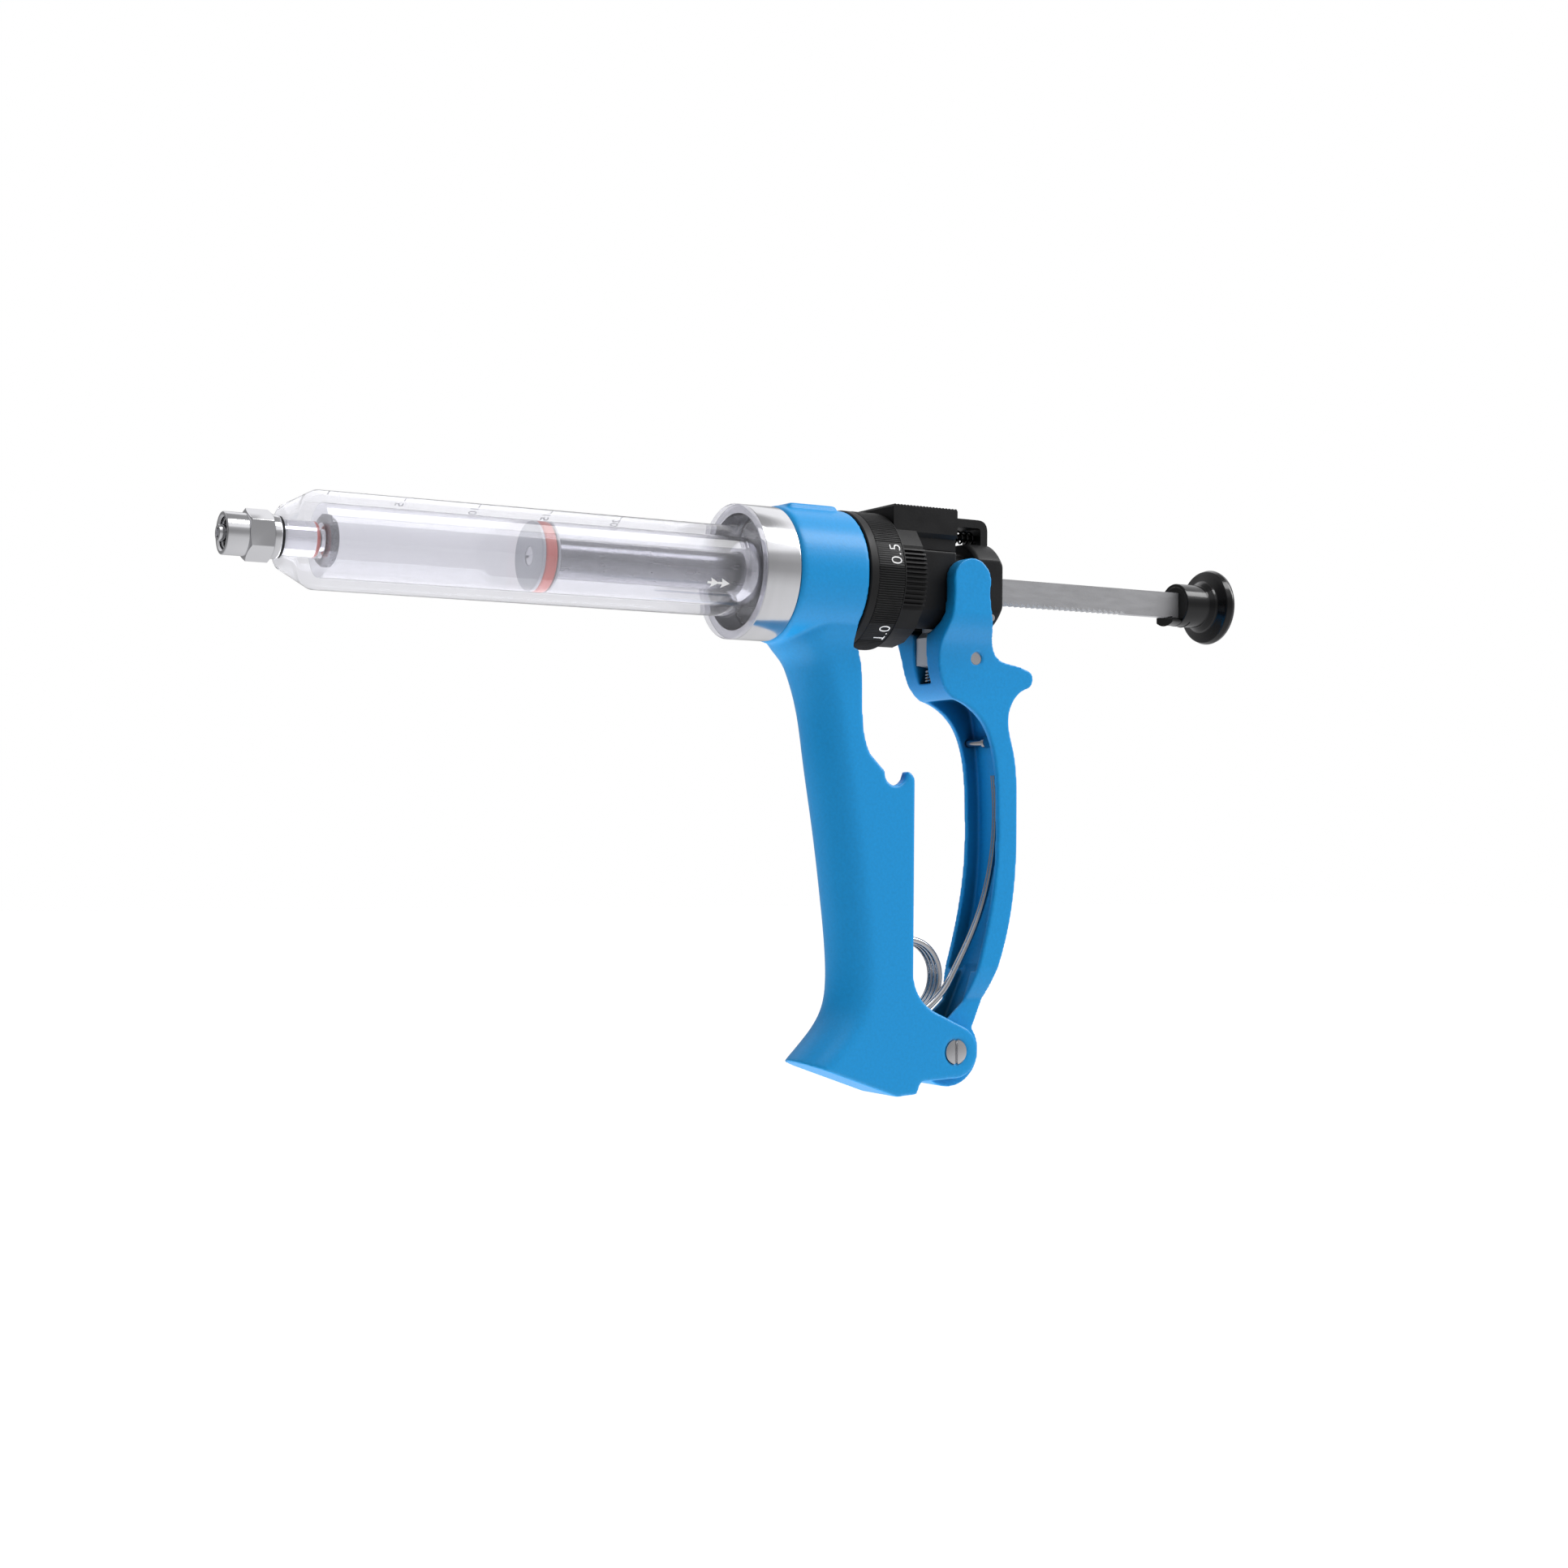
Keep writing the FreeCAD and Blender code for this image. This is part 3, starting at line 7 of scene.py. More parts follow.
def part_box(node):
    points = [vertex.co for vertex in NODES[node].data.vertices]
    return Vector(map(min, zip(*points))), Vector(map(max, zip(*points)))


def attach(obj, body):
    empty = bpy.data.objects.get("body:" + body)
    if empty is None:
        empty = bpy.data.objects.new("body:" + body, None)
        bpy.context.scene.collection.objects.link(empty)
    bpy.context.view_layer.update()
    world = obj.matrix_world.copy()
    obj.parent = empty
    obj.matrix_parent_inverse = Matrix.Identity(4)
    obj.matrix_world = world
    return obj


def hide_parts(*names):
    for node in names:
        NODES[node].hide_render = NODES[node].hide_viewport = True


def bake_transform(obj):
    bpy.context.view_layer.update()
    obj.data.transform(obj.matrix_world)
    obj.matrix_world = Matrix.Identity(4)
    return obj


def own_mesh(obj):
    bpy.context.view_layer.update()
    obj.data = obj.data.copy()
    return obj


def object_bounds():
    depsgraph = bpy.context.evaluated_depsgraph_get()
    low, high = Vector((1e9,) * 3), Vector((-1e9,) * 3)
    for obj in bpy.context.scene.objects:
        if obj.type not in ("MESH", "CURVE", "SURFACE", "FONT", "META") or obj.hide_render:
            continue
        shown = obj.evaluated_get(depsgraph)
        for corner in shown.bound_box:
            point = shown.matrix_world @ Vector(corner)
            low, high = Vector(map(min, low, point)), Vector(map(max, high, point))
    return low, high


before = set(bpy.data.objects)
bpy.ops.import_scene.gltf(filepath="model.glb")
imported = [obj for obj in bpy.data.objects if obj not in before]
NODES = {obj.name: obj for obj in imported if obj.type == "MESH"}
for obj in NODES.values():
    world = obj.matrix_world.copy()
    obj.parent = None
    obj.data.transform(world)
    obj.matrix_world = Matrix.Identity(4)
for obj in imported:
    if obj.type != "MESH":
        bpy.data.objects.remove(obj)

# Lengths below are millimetres in the frame of the parts; the mesh builders scale them to metres.
# The barrel's axis is X, with the nozzle's tip at 0 and the near side towards -Y.
MM = 0.001
CAD_BOX = [list(corner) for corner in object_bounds()]


def low(node):
    return Vector(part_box(node)[0]) / MM


def high(node):
    return Vector(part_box(node)[1]) / MM


FACE = high("barrel_ring").x  # front face of the blue housing
BARREL_RADIUS = 12.0
BORE_RADIUS = 9.0
PISTON_RADIUS = 8.9
NOSE_HOLE = 4.4
STEM_RADIUS = 4.3
RING_RADIUS = 17.88
ROD_RADIUS = 5.2
ROD_FORK = 14.2  # length of the rod's slotted end
SLOT_HALF = 1.6  # half the width of the slot that takes the rack
FIGURE_SHARE = 0.7  # height of a figure as a share of the font's size
WELD = 0.002  # corners of a CAD mesh nearer than this are one


# ---------------------------------------------------------------- materials

def rgb(r, g, b):
    """Linear colour of an 8-bit screen colour."""
    def one(c):
        c /= 255
        return c / 12.92 if c <= 0.04045 else ((c + 0.055) / 1.055) ** 2.4
    return (one(r), one(g), one(b), 1.0)


def scaled(colour, share):
    return tuple(min(1.0, c * share) for c in colour[:3]) + (1.0,)


def finish(name, colour, rough, metal=0.0, mottle=0.05, size=1.5, grain=0.12, bump=0.04,
           stretch=(1, 1, 1), hollow=None, **constants):
    """Principled material with noise in its colour, its roughness and its surface. The sizes of the
    mottle and of the grain are millimetres; hollow is a painted shade colour that ambient occlusion mixes
    into recesses and creases."""
    mat = bpy.data.materials.new(name)
    mat.use_nodes = True
    tree = mat.node_tree
    shader = tree.nodes["Principled BSDF"]
    shader.inputs["Metallic"].default_value = metal
    for socket, value in constants.items():
        shader.inputs[socket.replace("_", " ")].default_value = value
    place = tree.nodes.new("ShaderNodeTexCoord")
    spread = tree.nodes.new("ShaderNodeMapping")
    spread.inputs["Scale"].default_value = stretch
    tree.links.new(place.outputs["Object"], spread.inputs["Vector"])

    def noise(feature, detail):
        node = tree.nodes.new("ShaderNodeTexNoise")
        node.inputs["Scale"].default_value = 1 / (feature * MM)
        node.inputs["Detail"].default_value = detail
        tree.links.new(spread.outputs["Vector"], node.inputs["Vector"])
        return node.outputs["Fac"]

    def ramp(factor, stops):
        node = tree.nodes.new("ShaderNodeValToRGB")
        node.color_ramp.elements[0].position = 0.3
        node.color_ramp.elements[1].position = 0.7
        for element, value in zip(node.color_ramp.elements, stops):
            element.color = value
        tree.links.new(factor, node.inputs["Fac"])
        return node.outputs["Color"]

    broad = noise(size * 12, 3)
    tint = ramp(broad, (scaled(colour, 1 - mottle), scaled(colour, 1 + mottle)))
    # Painted shade: ambient occlusion blends the hollow colour into recesses, creases and gaps between
    # parts.
    if hollow:
        reach, closed, opened = 22, 0.22, 0.62
        depth = tree.nodes.new("ShaderNodeAmbientOcclusion")
        depth.inputs["Distance"].default_value = reach * MM
        depth.samples = 8
        share = tree.nodes.new("ShaderNodeMapRange")
        share.inputs["From Min"].default_value = closed
        share.inputs["From Max"].default_value = opened
        tree.links.new(depth.outputs["AO"], share.inputs["Value"])
        mix = tree.nodes.new("ShaderNodeMix")
        mix.data_type = "RGBA"
        tree.links.new(share.outputs["Result"], mix.inputs["Factor"])
        mix.inputs["A"].default_value = hollow
        tree.links.new(tint, mix.inputs["B"])
        tint = mix.outputs["Result"]
    tree.links.new(tint, shader.inputs["Base Color"])
    smudge = noise(size * 4, 4)
    smoother, rougher = 0.85, 1.2
    levels = [(rough * k, rough * k, rough * k, 1) for k in (smoother, rougher)]
    tree.links.new(ramp(smudge, levels), shader.inputs["Roughness"])
    dent = tree.nodes.new("ShaderNodeBump")
    dent.inputs["Strength"].default_value = bump
    dent.inputs["Distance"].default_value = grain * MM
    tree.links.new(noise(grain * 3, 2), dent.inputs["Height"])
    tree.links.new(dent.outputs["Normal"], shader.inputs["Normal"])
    return mat


# The blue moulding carries painted shade: its hollow colour darkens the lever channel and other recesses.
BLUE = finish("blue_moulding", rgb(24, 154, 224), 0.36, hollow=rgb(6, 66, 92), mottle=0.05, size=0.06,
              grain=0.25, bump=0.10, Coat_Weight=0.12, Coat_Roughness=0.2, Specular_IOR_Level=0.35)
BLACK = finish("black_moulding", rgb(20, 20, 21), 0.45, mottle=0.10, grain=0.2, bump=0.12,
               Specular_IOR_Level=0.3)
BLACK_KNURL = finish("black_knurl", rgb(20, 20, 21), 0.5, mottle=0.10, grain=0.15, bump=0.1,
                     Specular_IOR_Level=0.35)
BLACK_GLOSS = finish("black_gloss", rgb(12, 12, 13), 0.18, mottle=0.10, grain=0.3, bump=0.03,
                     Coat_Weight=0.3, Coat_Roughness=0.06, Specular_IOR_Level=0.4)
BLACK_RUBBER = finish("black_rubber", rgb(22, 22, 23), 0.6, mottle=0.12, grain=0.2, bump=0.2)
RED_RUBBER = finish("red_rubber", rgb(206, 104, 92), 0.5, mottle=0.08, grain=0.2, bump=0.12)
NICKEL = finish("nickel", rgb(236, 236, 238), 0.10, metal=1.0, mottle=0.02, grain=0.3, bump=0.02)
RING_METAL = finish("polished_ring", rgb(232, 232, 234), 0.13, metal=1.0, mottle=0.02, grain=0.1,
                    bump=0.03, stretch=(6, 1, 1))
GUIDE_METAL = finish("guide_metal", rgb(200, 200, 202), 0.12, metal=1.0, mottle=0.03, grain=0.2,
                     bump=0.02)
ROD_METAL = finish("rod_metal", rgb(138, 138, 142), 0.24, metal=1.0, mottle=0.03, grain=0.1,
                   bump=0.06, stretch=(1, 6, 6))
PISTON_GREY = finish("piston_grey", rgb(172, 174, 178), 0.38, metal=0.2, mottle=0.04, grain=0.2,
                     bump=0.06)
RACK_METAL = finish("rack_steel", rgb(176, 176, 178), 0.42, metal=0.5, mottle=0.04, grain=0.12,
                    bump=0.08, stretch=(1, 5, 5))
STEEL = finish("steel", rgb(222, 222, 224), 0.22, metal=1.0, mottle=0.04, grain=0.12, bump=0.05)
SPRING = finish("spring_steel", rgb(212, 212, 214), 0.16, metal=1.0, mottle=0.04, grain=0.1,
                bump=0.05, stretch=(4, 4, 1))
PAWL = finish("pawl_steel", rgb(226, 226, 228), 0.34, metal=0.4, mottle=0.04, grain=0.12, bump=0.06)
WHITE_INK = finish("white_ink", rgb(244, 244, 244), 0.5, mottle=0.01, grain=0.1, bump=0.03)
GREY_INK = finish("grey_ink", rgb(120, 120, 132), 0.45, mottle=0.05, grain=0.1, bump=0.03)
FLOOR = finish("pale_floor", rgb(247, 247, 247), 0.9, mottle=0.004, size=60, grain=2.0, bump=0.02,
               Emission_Color=(1, 1, 1, 1), Emission_Strength=0.6)
CLEAR = finish("clear_barrel", rgb(232, 232, 237), 0.02, mottle=0.006, grain=0.4, bump=0.006,
               Transmission_Weight=0.93, IOR=1.02, Coat_Weight=1.0, Coat_Roughness=0.03, Coat_IOR=1.6)
NUT_METAL = finish("dark_nut", rgb(104, 104, 108), 0.25, metal=1.0, mottle=0.04, grain=0.2, bump=0.03)


# ---------------------------------------------------------------- builders

def piece(name, mesh, mat, body, nodes=(), sharp=32):
    """A finished object on its body: smooth shading with hard edges over the sharp angle. Without a
    body it is left unattached."""
    bm = bmesh.new()
    bm.from_mesh(mesh)
    bmesh.ops.recalc_face_normals(bm, faces=bm.faces)
    for face in bm.faces:
        face.smooth = True
    limit = math.radians(sharp)
    for edge in bm.edges:
        edge.smooth = len(edge.link_faces) == 2 and edge.calc_face_angle(0) < limit
    bm.to_mesh(mesh)
    bm.free()
    mesh.materials.clear()
    mesh.materials.append(mat)
    thing = bpy.data.objects.new(name, mesh)
    bpy.context.scene.collection.objects.link(thing)
    if body:
        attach(thing, body)
    if nodes:
        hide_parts(*nodes)
    return thing


def mesh_of(name, verts, faces):
    """Mesh from corners in millimetres."""
    mesh = bpy.data.meshes.new(name)
    mesh.from_pydata([Vector(v) * MM for v in verts], [], faces)
    mesh.update()
    return mesh


def rounded(points, radius=0.2, closed=True, steps=4):
    """The outline with each corner rounded; a point may carry its own radius as a third value."""
    nearly_straight, side_share = 0.05, 0.45
    out = []
    count = len(points)
    for i, point in enumerate(points):
        here = Vector(point[:2])
        if not closed and i in (0, count - 1):
            out.append(here)
            continue
        before = Vector(points[i - 1][:2]) - here
        after = Vector(points[(i + 1) % count][:2]) - here
        want = point[2] if len(point) > 2 else radius
        turn = math.pi - before.angle(after)
        if want <= 0 or turn < nearly_straight:
            out.append(here)
            continue
        reach = min(want * math.tan(turn / 2), before.length * side_share, after.length * side_share)
        start = here + before.normalized() * reach
        end = here + after.normalized() * reach
        for k in range(steps + 1):
            t = k / steps
            out.append(start * (1 - t) ** 2 + here * 2 * t * (1 - t) + end * t ** 2)
    return out


def lathe_mesh(name, outline, closed=True, around=144):
    """The (x, r) outline turned about the barrel axis; open outlines start and end on the axis."""
    verts, faces, rings = [], [], []
    for x, r in outline:
        if r < 1e-6:
            rings.append([len(verts)])
            verts.append((x, 0, 0))
            continue
        rings.append(list(range(len(verts), len(verts) + around)))
        for k in range(around):
            a = 2 * math.pi * k / around
            verts.append((x, r * math.cos(a), r * math.sin(a)))
    pairs = list(zip(rings, rings[1:] + rings[:1])) if closed else list(zip(rings, rings[1:]))
    for one, two in pairs:
        for k in range(around):
            n = (k + 1) % around
            corners = [one[k % len(one)], one[n % len(one)], two[n % len(two)], two[k % len(two)]]
            corners = list(dict.fromkeys(corners))
            if len(corners) > 2:
                faces.append(corners)
    return mesh_of(name, verts, faces)


def extrude_mesh(name, outline, axis, start, end):
    """Closed outline pushed along an axis: X takes (y, z) corners, Y takes (x, z), Z takes (x, y)."""
    def spot(a, b, along):
        return {"X": (along, a, b), "Y": (a, along, b), "Z": (a, b, along)}[axis]
    count = len(outline)
    verts = [spot(a, b, start) for a, b in outline] + [spot(a, b, end) for a, b in outline]
    faces = [list(range(count)), list(range(count, 2 * count))[::-1]]
    faces += [[i, (i + 1) % count, (i + 1) % count + count, i + count] for i in range(count)]
    return mesh_of(name, verts, faces)


def box_mesh(name, lo, hi):
    outline = [(lo[0], lo[2]), (hi[0], lo[2]), (hi[0], hi[2]), (lo[0], hi[2])]
    return extrude_mesh(name, outline, "Y", lo[1], hi[1])


def baked(mesh, *modifiers):
    """The mesh after the modifiers, each given as (kind, {settings})."""
    holder = bpy.data.objects.new("holder", mesh)
    bpy.context.scene.collection.objects.link(holder)
    for kind, settings in modifiers:
        modifier = holder.modifiers.new(kind, kind)
        for key, value in settings.items():
            setattr(modifier, key, value)
    graph = bpy.context.evaluated_depsgraph_get()
    result = bpy.data.meshes.new_from_object(holder.evaluated_get(graph))
    bpy.data.objects.remove(holder)
    return result


def carved(mesh, *cutters, operation="DIFFERENCE"):
    """The mesh with the cutter meshes taken away, or joined on."""
    for cutter in cutters:
        tool = bpy.data.objects.new("tool", cutter)
        bpy.context.scene.collection.objects.link(tool)
        mesh = baked(mesh, ("BOOLEAN", {"object": tool, "operation": operation, "solver": "EXACT"}))
        bpy.data.objects.remove(tool)
    return mesh


def bevelled(mesh, width, steps=3, angle=35):
    return baked(mesh, ("BEVEL", {"width": width * MM, "segments": steps, "limit_method": "ANGLE",
                                  "angle_limit": math.radians(angle), "harden_normals": False}))


def cad_mesh(node):
    """A welded copy of a CAD node's mesh, to be shaped further."""
    bm = bmesh.new()
    bm.from_mesh(NODES[node].data)
    bmesh.ops.remove_doubles(bm, verts=bm.verts, dist=WELD * MM)
    mesh = bpy.data.meshes.new(node)
    bm.to_mesh(mesh)
    bm.free()
    return mesh


def softened(mesh, voxel, passes):
    """The mesh with its edges eased, as a moulding has them."""
    return baked(mesh, ("REMESH", {"mode": "VOXEL", "voxel_size": voxel * MM}),
                 ("SMOOTH", {"factor": 0.5, "iterations": passes}))


def text_mesh(name, words, height, depth, thin=0.0):
    """Flat lettering as a mesh in millimetre units, centred from left to right."""
    curve = bpy.data.curves.new(name, "FONT")
    curve.body = words
    curve.align_x = "CENTER"
    curve.size = height / FIGURE_SHARE
    curve.extrude = depth / 2
    curve.offset = -thin
    curve.resolution_u = 6
    holder = bpy.data.objects.new(name, curve)
    bpy.context.scene.collection.objects.link(holder)
    graph = bpy.context.evaluated_depsgraph_get()
    mesh = bpy.data.meshes.new_from_object(holder.evaluated_get(graph))
    bpy.data.objects.remove(holder)
    return mesh


def wrapped(mesh, x, radius, angle):
    """Lettering laid on the cylinder about the X axis, its lines running round the cylinder."""
    longest = 0.5
    bm = bmesh.new()
    bm.from_mesh(mesh)
    long_edges = [e for e in bm.edges if e.calc_length() > longest]
    bmesh.ops.subdivide_edges(bm, edges=long_edges, cuts=2)
    bmesh.ops.triangulate(bm, faces=bm.faces)
    for v in bm.verts:
        across, up, lift = v.co
        a = angle + across / radius
        r = radius + lift
        v.co = Vector((x - up, -r * math.cos(a), r * math.sin(a))) * MM
    bm.to_mesh(mesh)
    bm.free()
    return mesh


def joined(name, meshes):
    bm = bmesh.new()
    for mesh in meshes:
        bm.from_mesh(mesh)
    whole = bpy.data.meshes.new(name)
    bm.to_mesh(whole)
    bm.free()
    return whole


def use(mat, *names):
    """CAD nodes whose shape is right keep it and take this material."""
    for name in names:
        mesh = NODES[name].data
        mesh.materials.clear()
        mesh.materials.append(mat)


# ---------------------------------------------------------------- nozzle and barrel

def nozzle():
    tip = low("luer_fitting").x
    floor = tip + 5.4
    collar_end = tip + 6.3
    hexagon_end = collar_end + 6.1
    groove_start, groove_end, end = tip + 23.1, tip + 25.0, tip + 27.9
    bore, cup, turns, thread_pitch = 1.2, 3.9, 4, 0.95
    thread = []
    for k in range(turns):
        x = tip + 1.5 + k * thread_pitch
        thread += [(x, cup, 0), (x + 0.3, 4.25, 0), (x + 0.55, 4.25, 0), (x + 0.85, cup, 0)]
    outline = [(tip, bore, 0.1), (tip, 1.99, 0.15), (floor, 2.15, 0), (floor, cup, 0)] + thread[::-1]
    outline += [(tip + 1.0, 4.3, 0.1), (tip + 1.0, 5.13, 0.4), (collar_end, 5.13, 0),
                (collar_end, 4.9, 0), (hexagon_end, 4.9, 0), (hexagon_end, 5.3, 0.25),
                (tip + 14.2, 5.3, 0.25), (tip + 14.2, STEM_RADIUS, 0), (groove_start, STEM_RADIUS, 0),
                (groove_start, 2.75, 0), (groove_end, 2.75, 0), (groove_end, STEM_RADIUS, 0),
                (end, STEM_RADIUS, 0.3), (end, bore, 0)]
    piece("luer_body", lathe_mesh("luer_body", rounded(outline)), NICKEL, "root",
          ["luer_fitting"])
    piece("luer_hexagon", hexagon("luer_hexagon", collar_end, hexagon_end), NICKEL, "root")
    nut = hexagon("inner_hexagon", low("nozzle_nut").x, high("nozzle_nut").x)
    piece("inner_hexagon", nut, NUT_METAL, "root", ["nozzle_nut"])
    lo, hi = low("nozzle_seal").x, high("nozzle_seal").x
    outline = [(lo, 4.42), (lo, 5.0), (hi, 5.0), (hi, 4.42)]
    piece("front_seal", lathe_mesh("front_seal", rounded(outline, 0.12)), BLACK_RUBBER, "root",
          ["nozzle_seal"])
    lo, hi = low("nozzle_o_ring"), high("nozzle_o_ring")
    middle, wire, sides = (lo.x + hi.x) / 2, (hi.x - lo.x) / 2, 20
    outline = [(middle + wire * math.cos(a), hi.z - wire + wire * math.sin(a))
               for a in (2 * math.pi * k / sides for k in range(sides))]
    piece("nozzle_ring", lathe_mesh("nozzle_ring", outline), RED_RUBBER, "root",
          ["nozzle_o_ring"])


def hexagon(name, start, end):
    """Spanner hexagon with the corners turned down at both ends and a hole for the stem."""
    flat, hole_radius, slope = 5.5, 4.35, 0.55
    corner = flat / math.cos(math.radians(30))
    angles = [math.radians(60 * k + 30) for k in range(6)]
    outline = [(corner * math.cos(a), corner * math.sin(a)) for a in angles]
    prism = bevelled(extrude_mesh(name, outline, "X", start, end), 0.15, 2)
    turned = [(start - 0.1, 0), (start, 5.45), (start + slope, 6.6), (end - slope, 6.6), (end, 5.45),
              (end + 0.1, 0)]
    prism = carved(prism, lathe_mesh("corners", turned, closed=False, around=96), operation="INTERSECT")
    hole = [(start - 1, 0), (start - 1, hole_radius), (end + 1, hole_radius), (end + 1, 0)]
    return carved(prism, lathe_mesh("hole", hole, closed=False, around=72))


def barrel():
    nose = low("barrel").x
    rear = high("barrel").x
    flange = FACE - 10.1
    flange_front, flange_radius, spigot_radius, bore_front = flange - 1.6, 17.9, 15.4, nose + 10.0
    outline = [(nose, NOSE_HOLE, 0.2), (nose, 7.5, 0.9), (nose + 8.2, BARREL_RADIUS, 2.5),
               (flange_front, BARREL_RADIUS, 0.6), (flange_front, flange_radius, 0.25),
               (flange, flange_radius, 0.25), (flange, spigot_radius, 0.1), (rear, spigot_radius, 0.2),
               (rear, BORE_RADIUS, 0.2), (bore_front, BORE_RADIUS, 0.5), (bore_front, NOSE_HOLE, 0.2)]
    piece("barrel_body", lathe_mesh("barrel_body", rounded(outline), around=192), CLEAR, "root",
          ["barrel"], sharp=28)
    scale_marks(nose)
    for k, x in enumerate((flange - 14.0, flange - 10.9)):
        arrow = extrude_mesh("arrow", [(x, -0.3), (x + 1.2, -0.3), (x + 0.9, -1.3), (x + 3.4, 0),
                                       (x + 0.9, 1.3), (x + 1.2, 0.3), (x, 0.3)], "Z", 0, 0.05)
        piece(f"barrel_arrow_{k}", laid(arrow, math.radians(-23)), WHITE_INK, "root")


def laid(mesh, angle):
    """A flat (x, across) mark wrapped on the barrel at the angle above the near side."""
    for v in mesh.vertices:
        a = angle + v.co.y / MM / BARREL_RADIUS
        r = BARREL_RADIUS + v.co.z / MM
        v.co = Vector((v.co.x, -r * math.cos(a) * MM, r * math.sin(a) * MM))
    return mesh


def scale_marks(nose):
    """Printed graduations along the top of the barrel: a tick a millilitre and numerals."""
    marks, numerals = [], []
    per_ml = 3.9296
    first = nose + 13.0
    half = 0.12
    for k in range(25):
        x = first + k * per_ml
        long = k % 5 == 0
        reach = 4.2 if long else 2.4
        outline = [(x - half, -reach), (x + half, -reach), (x + half, reach), (x - half, reach)]
        strip = extrude_mesh("tick", outline, "Z", 0, 0.03)
        bm = bmesh.new()
        bm.from_mesh(strip)
        bmesh.ops.subdivide_edges(bm, edges=[e for e in bm.edges if e.calc_length() > 1 * MM], cuts=6)
        bm.to_mesh(strip)
        bm.free()
        marks.append(laid(strip, math.pi / 2))
        if long and k:
            label = text_mesh("label", str(k), 2.2, 0.03)
            numerals.append(wrapped(label, x + 0.3, BARREL_RADIUS + 0.02, math.radians(118)))
    piece("barrel_ticks", joined("barrel_ticks", marks), GREY_INK, "root")
    piece("barrel_numerals", joined("barrel_numerals", numerals), GREY_INK, "root")


def ring_parts():
    start, end, lip = low("barrel_ring").x, FACE, FACE - 1.0
    outline = [(start, 15.5, 0.1), (start, RING_RADIUS, 0.25), (end, RING_RADIUS, 0.3), (end, 12.2, 0.2),
               (lip, 12.2, 0.2), (lip, 15.5, 0.1)]
    piece("bayonet_ring", lathe_mesh("bayonet_ring", rounded(outline), around=192), RING_METAL, "root",
          ["barrel_ring"])
    lo, hi = low("barrel_gasket").x, high("barrel_gasket").x
    verts, faces = [], []
    inner, outer = 10.3, 15.3
    columns = 48 * 2
    for k in range(columns):
        a = 2 * math.pi * k / columns
        x = lo + 0.05 if k % 2 else lo + 0.7
        for r, along in ((inner, x), (outer, x), (outer, hi), (inner, hi)):
            verts.append((along, r * math.cos(a), r * math.sin(a)))
    for k in range(columns):
        n = (k + 1) % columns
        for c in range(4):
            d = (c + 1) % 4
            faces.append([4 * k + c, 4 * k + d, 4 * n + d, 4 * n + c])
    piece("ribbed_gasket", mesh_of("ribbed_gasket", verts, faces), BLACK_RUBBER, "root",
          ["barrel_gasket"], sharp=12)
    front, step, back, hole = low("rod_guide").x, FACE - 0.8, FACE + 2.5, ROD_RADIUS + 0.05
    outline = [(front, hole, 0.1), (front, 6.2, 0.4), (front + 1.0, 7.8, 1.2), (front + 3.0, 8.9, 1.5),
               (step, 8.9, 0.1), (step, 11.9, 0.1), (back, 11.9, 0), (back, hole, 0)]
    piece("guide_bush", lathe_mesh("guide_bush", rounded(outline), around=128), GUIDE_METAL, "root",
          ["rod_guide"])


def plunger():
    front = low("piston_front").x
    rim, end, core, thread = front + 0.9, front + 4.3, 5.6, 1.6
    outline = [(front, 2.45, 0.1), (front, PISTON_RADIUS, 0.35), (rim, PISTON_RADIUS, 0.1), (rim, core, 0),
               (end, core, 0), (end, thread, 0), (rim, thread, 0), (rim, 2.45, 0)]
    piece("piston_face", lathe_mesh("piston_face", rounded(outline)), PISTON_GREY, "plunger",
          ["piston_front"])
    lo, hi = low("piston_o_ring").x, high("piston_o_ring").x
    seat, ring_radius = 0.02, PISTON_RADIUS + 0.03
    outline = [(lo + seat, core, 0), (lo + seat, ring_radius, 1.0), (hi - seat, ring_radius, 1.0),
               (hi - seat, core, 0)]
    piece("piston_ring", lathe_mesh("piston_ring", rounded(outline, steps=6)), RED_RUBBER, "plunger",
          ["piston_o_ring"])
    lo, hi = low("piston_back").x, high("piston_back").x
    outline = [(lo, thread, 0), (lo, PISTON_RADIUS, 0.1), (hi, PISTON_RADIUS, 0.3), (hi, thread, 0)]
    piece("piston_rim", lathe_mesh("piston_rim", rounded(outline)), PISTON_GREY, "plunger",
          ["piston_back"])
    lo, hi = low("piston_rod").x, high("piston_rod").x
    fork, hollow = hi - ROD_FORK, 1.9
    outline = [(lo, 0), (lo, ROD_RADIUS, 0), (fork, ROD_RADIUS, 0), (hi, ROD_RADIUS, 0.5), (hi, hollow),
               (fork, hollow), (fork, 0)]
    tube = lathe_mesh("rod", rounded(outline, closed=False), closed=False, around=128)
    slot = box_mesh("slot", (fork, -SLOT_HALF, -4.1), (hi + 1, SLOT_HALF, 3.7))
    piece("plunger_rod", carved(tube, slot), ROD_METAL, "plunger", ["piston_rod"])
    use(STEEL, "piston_screw", "rod_pin")
    use(RACK_METAL, "rack")


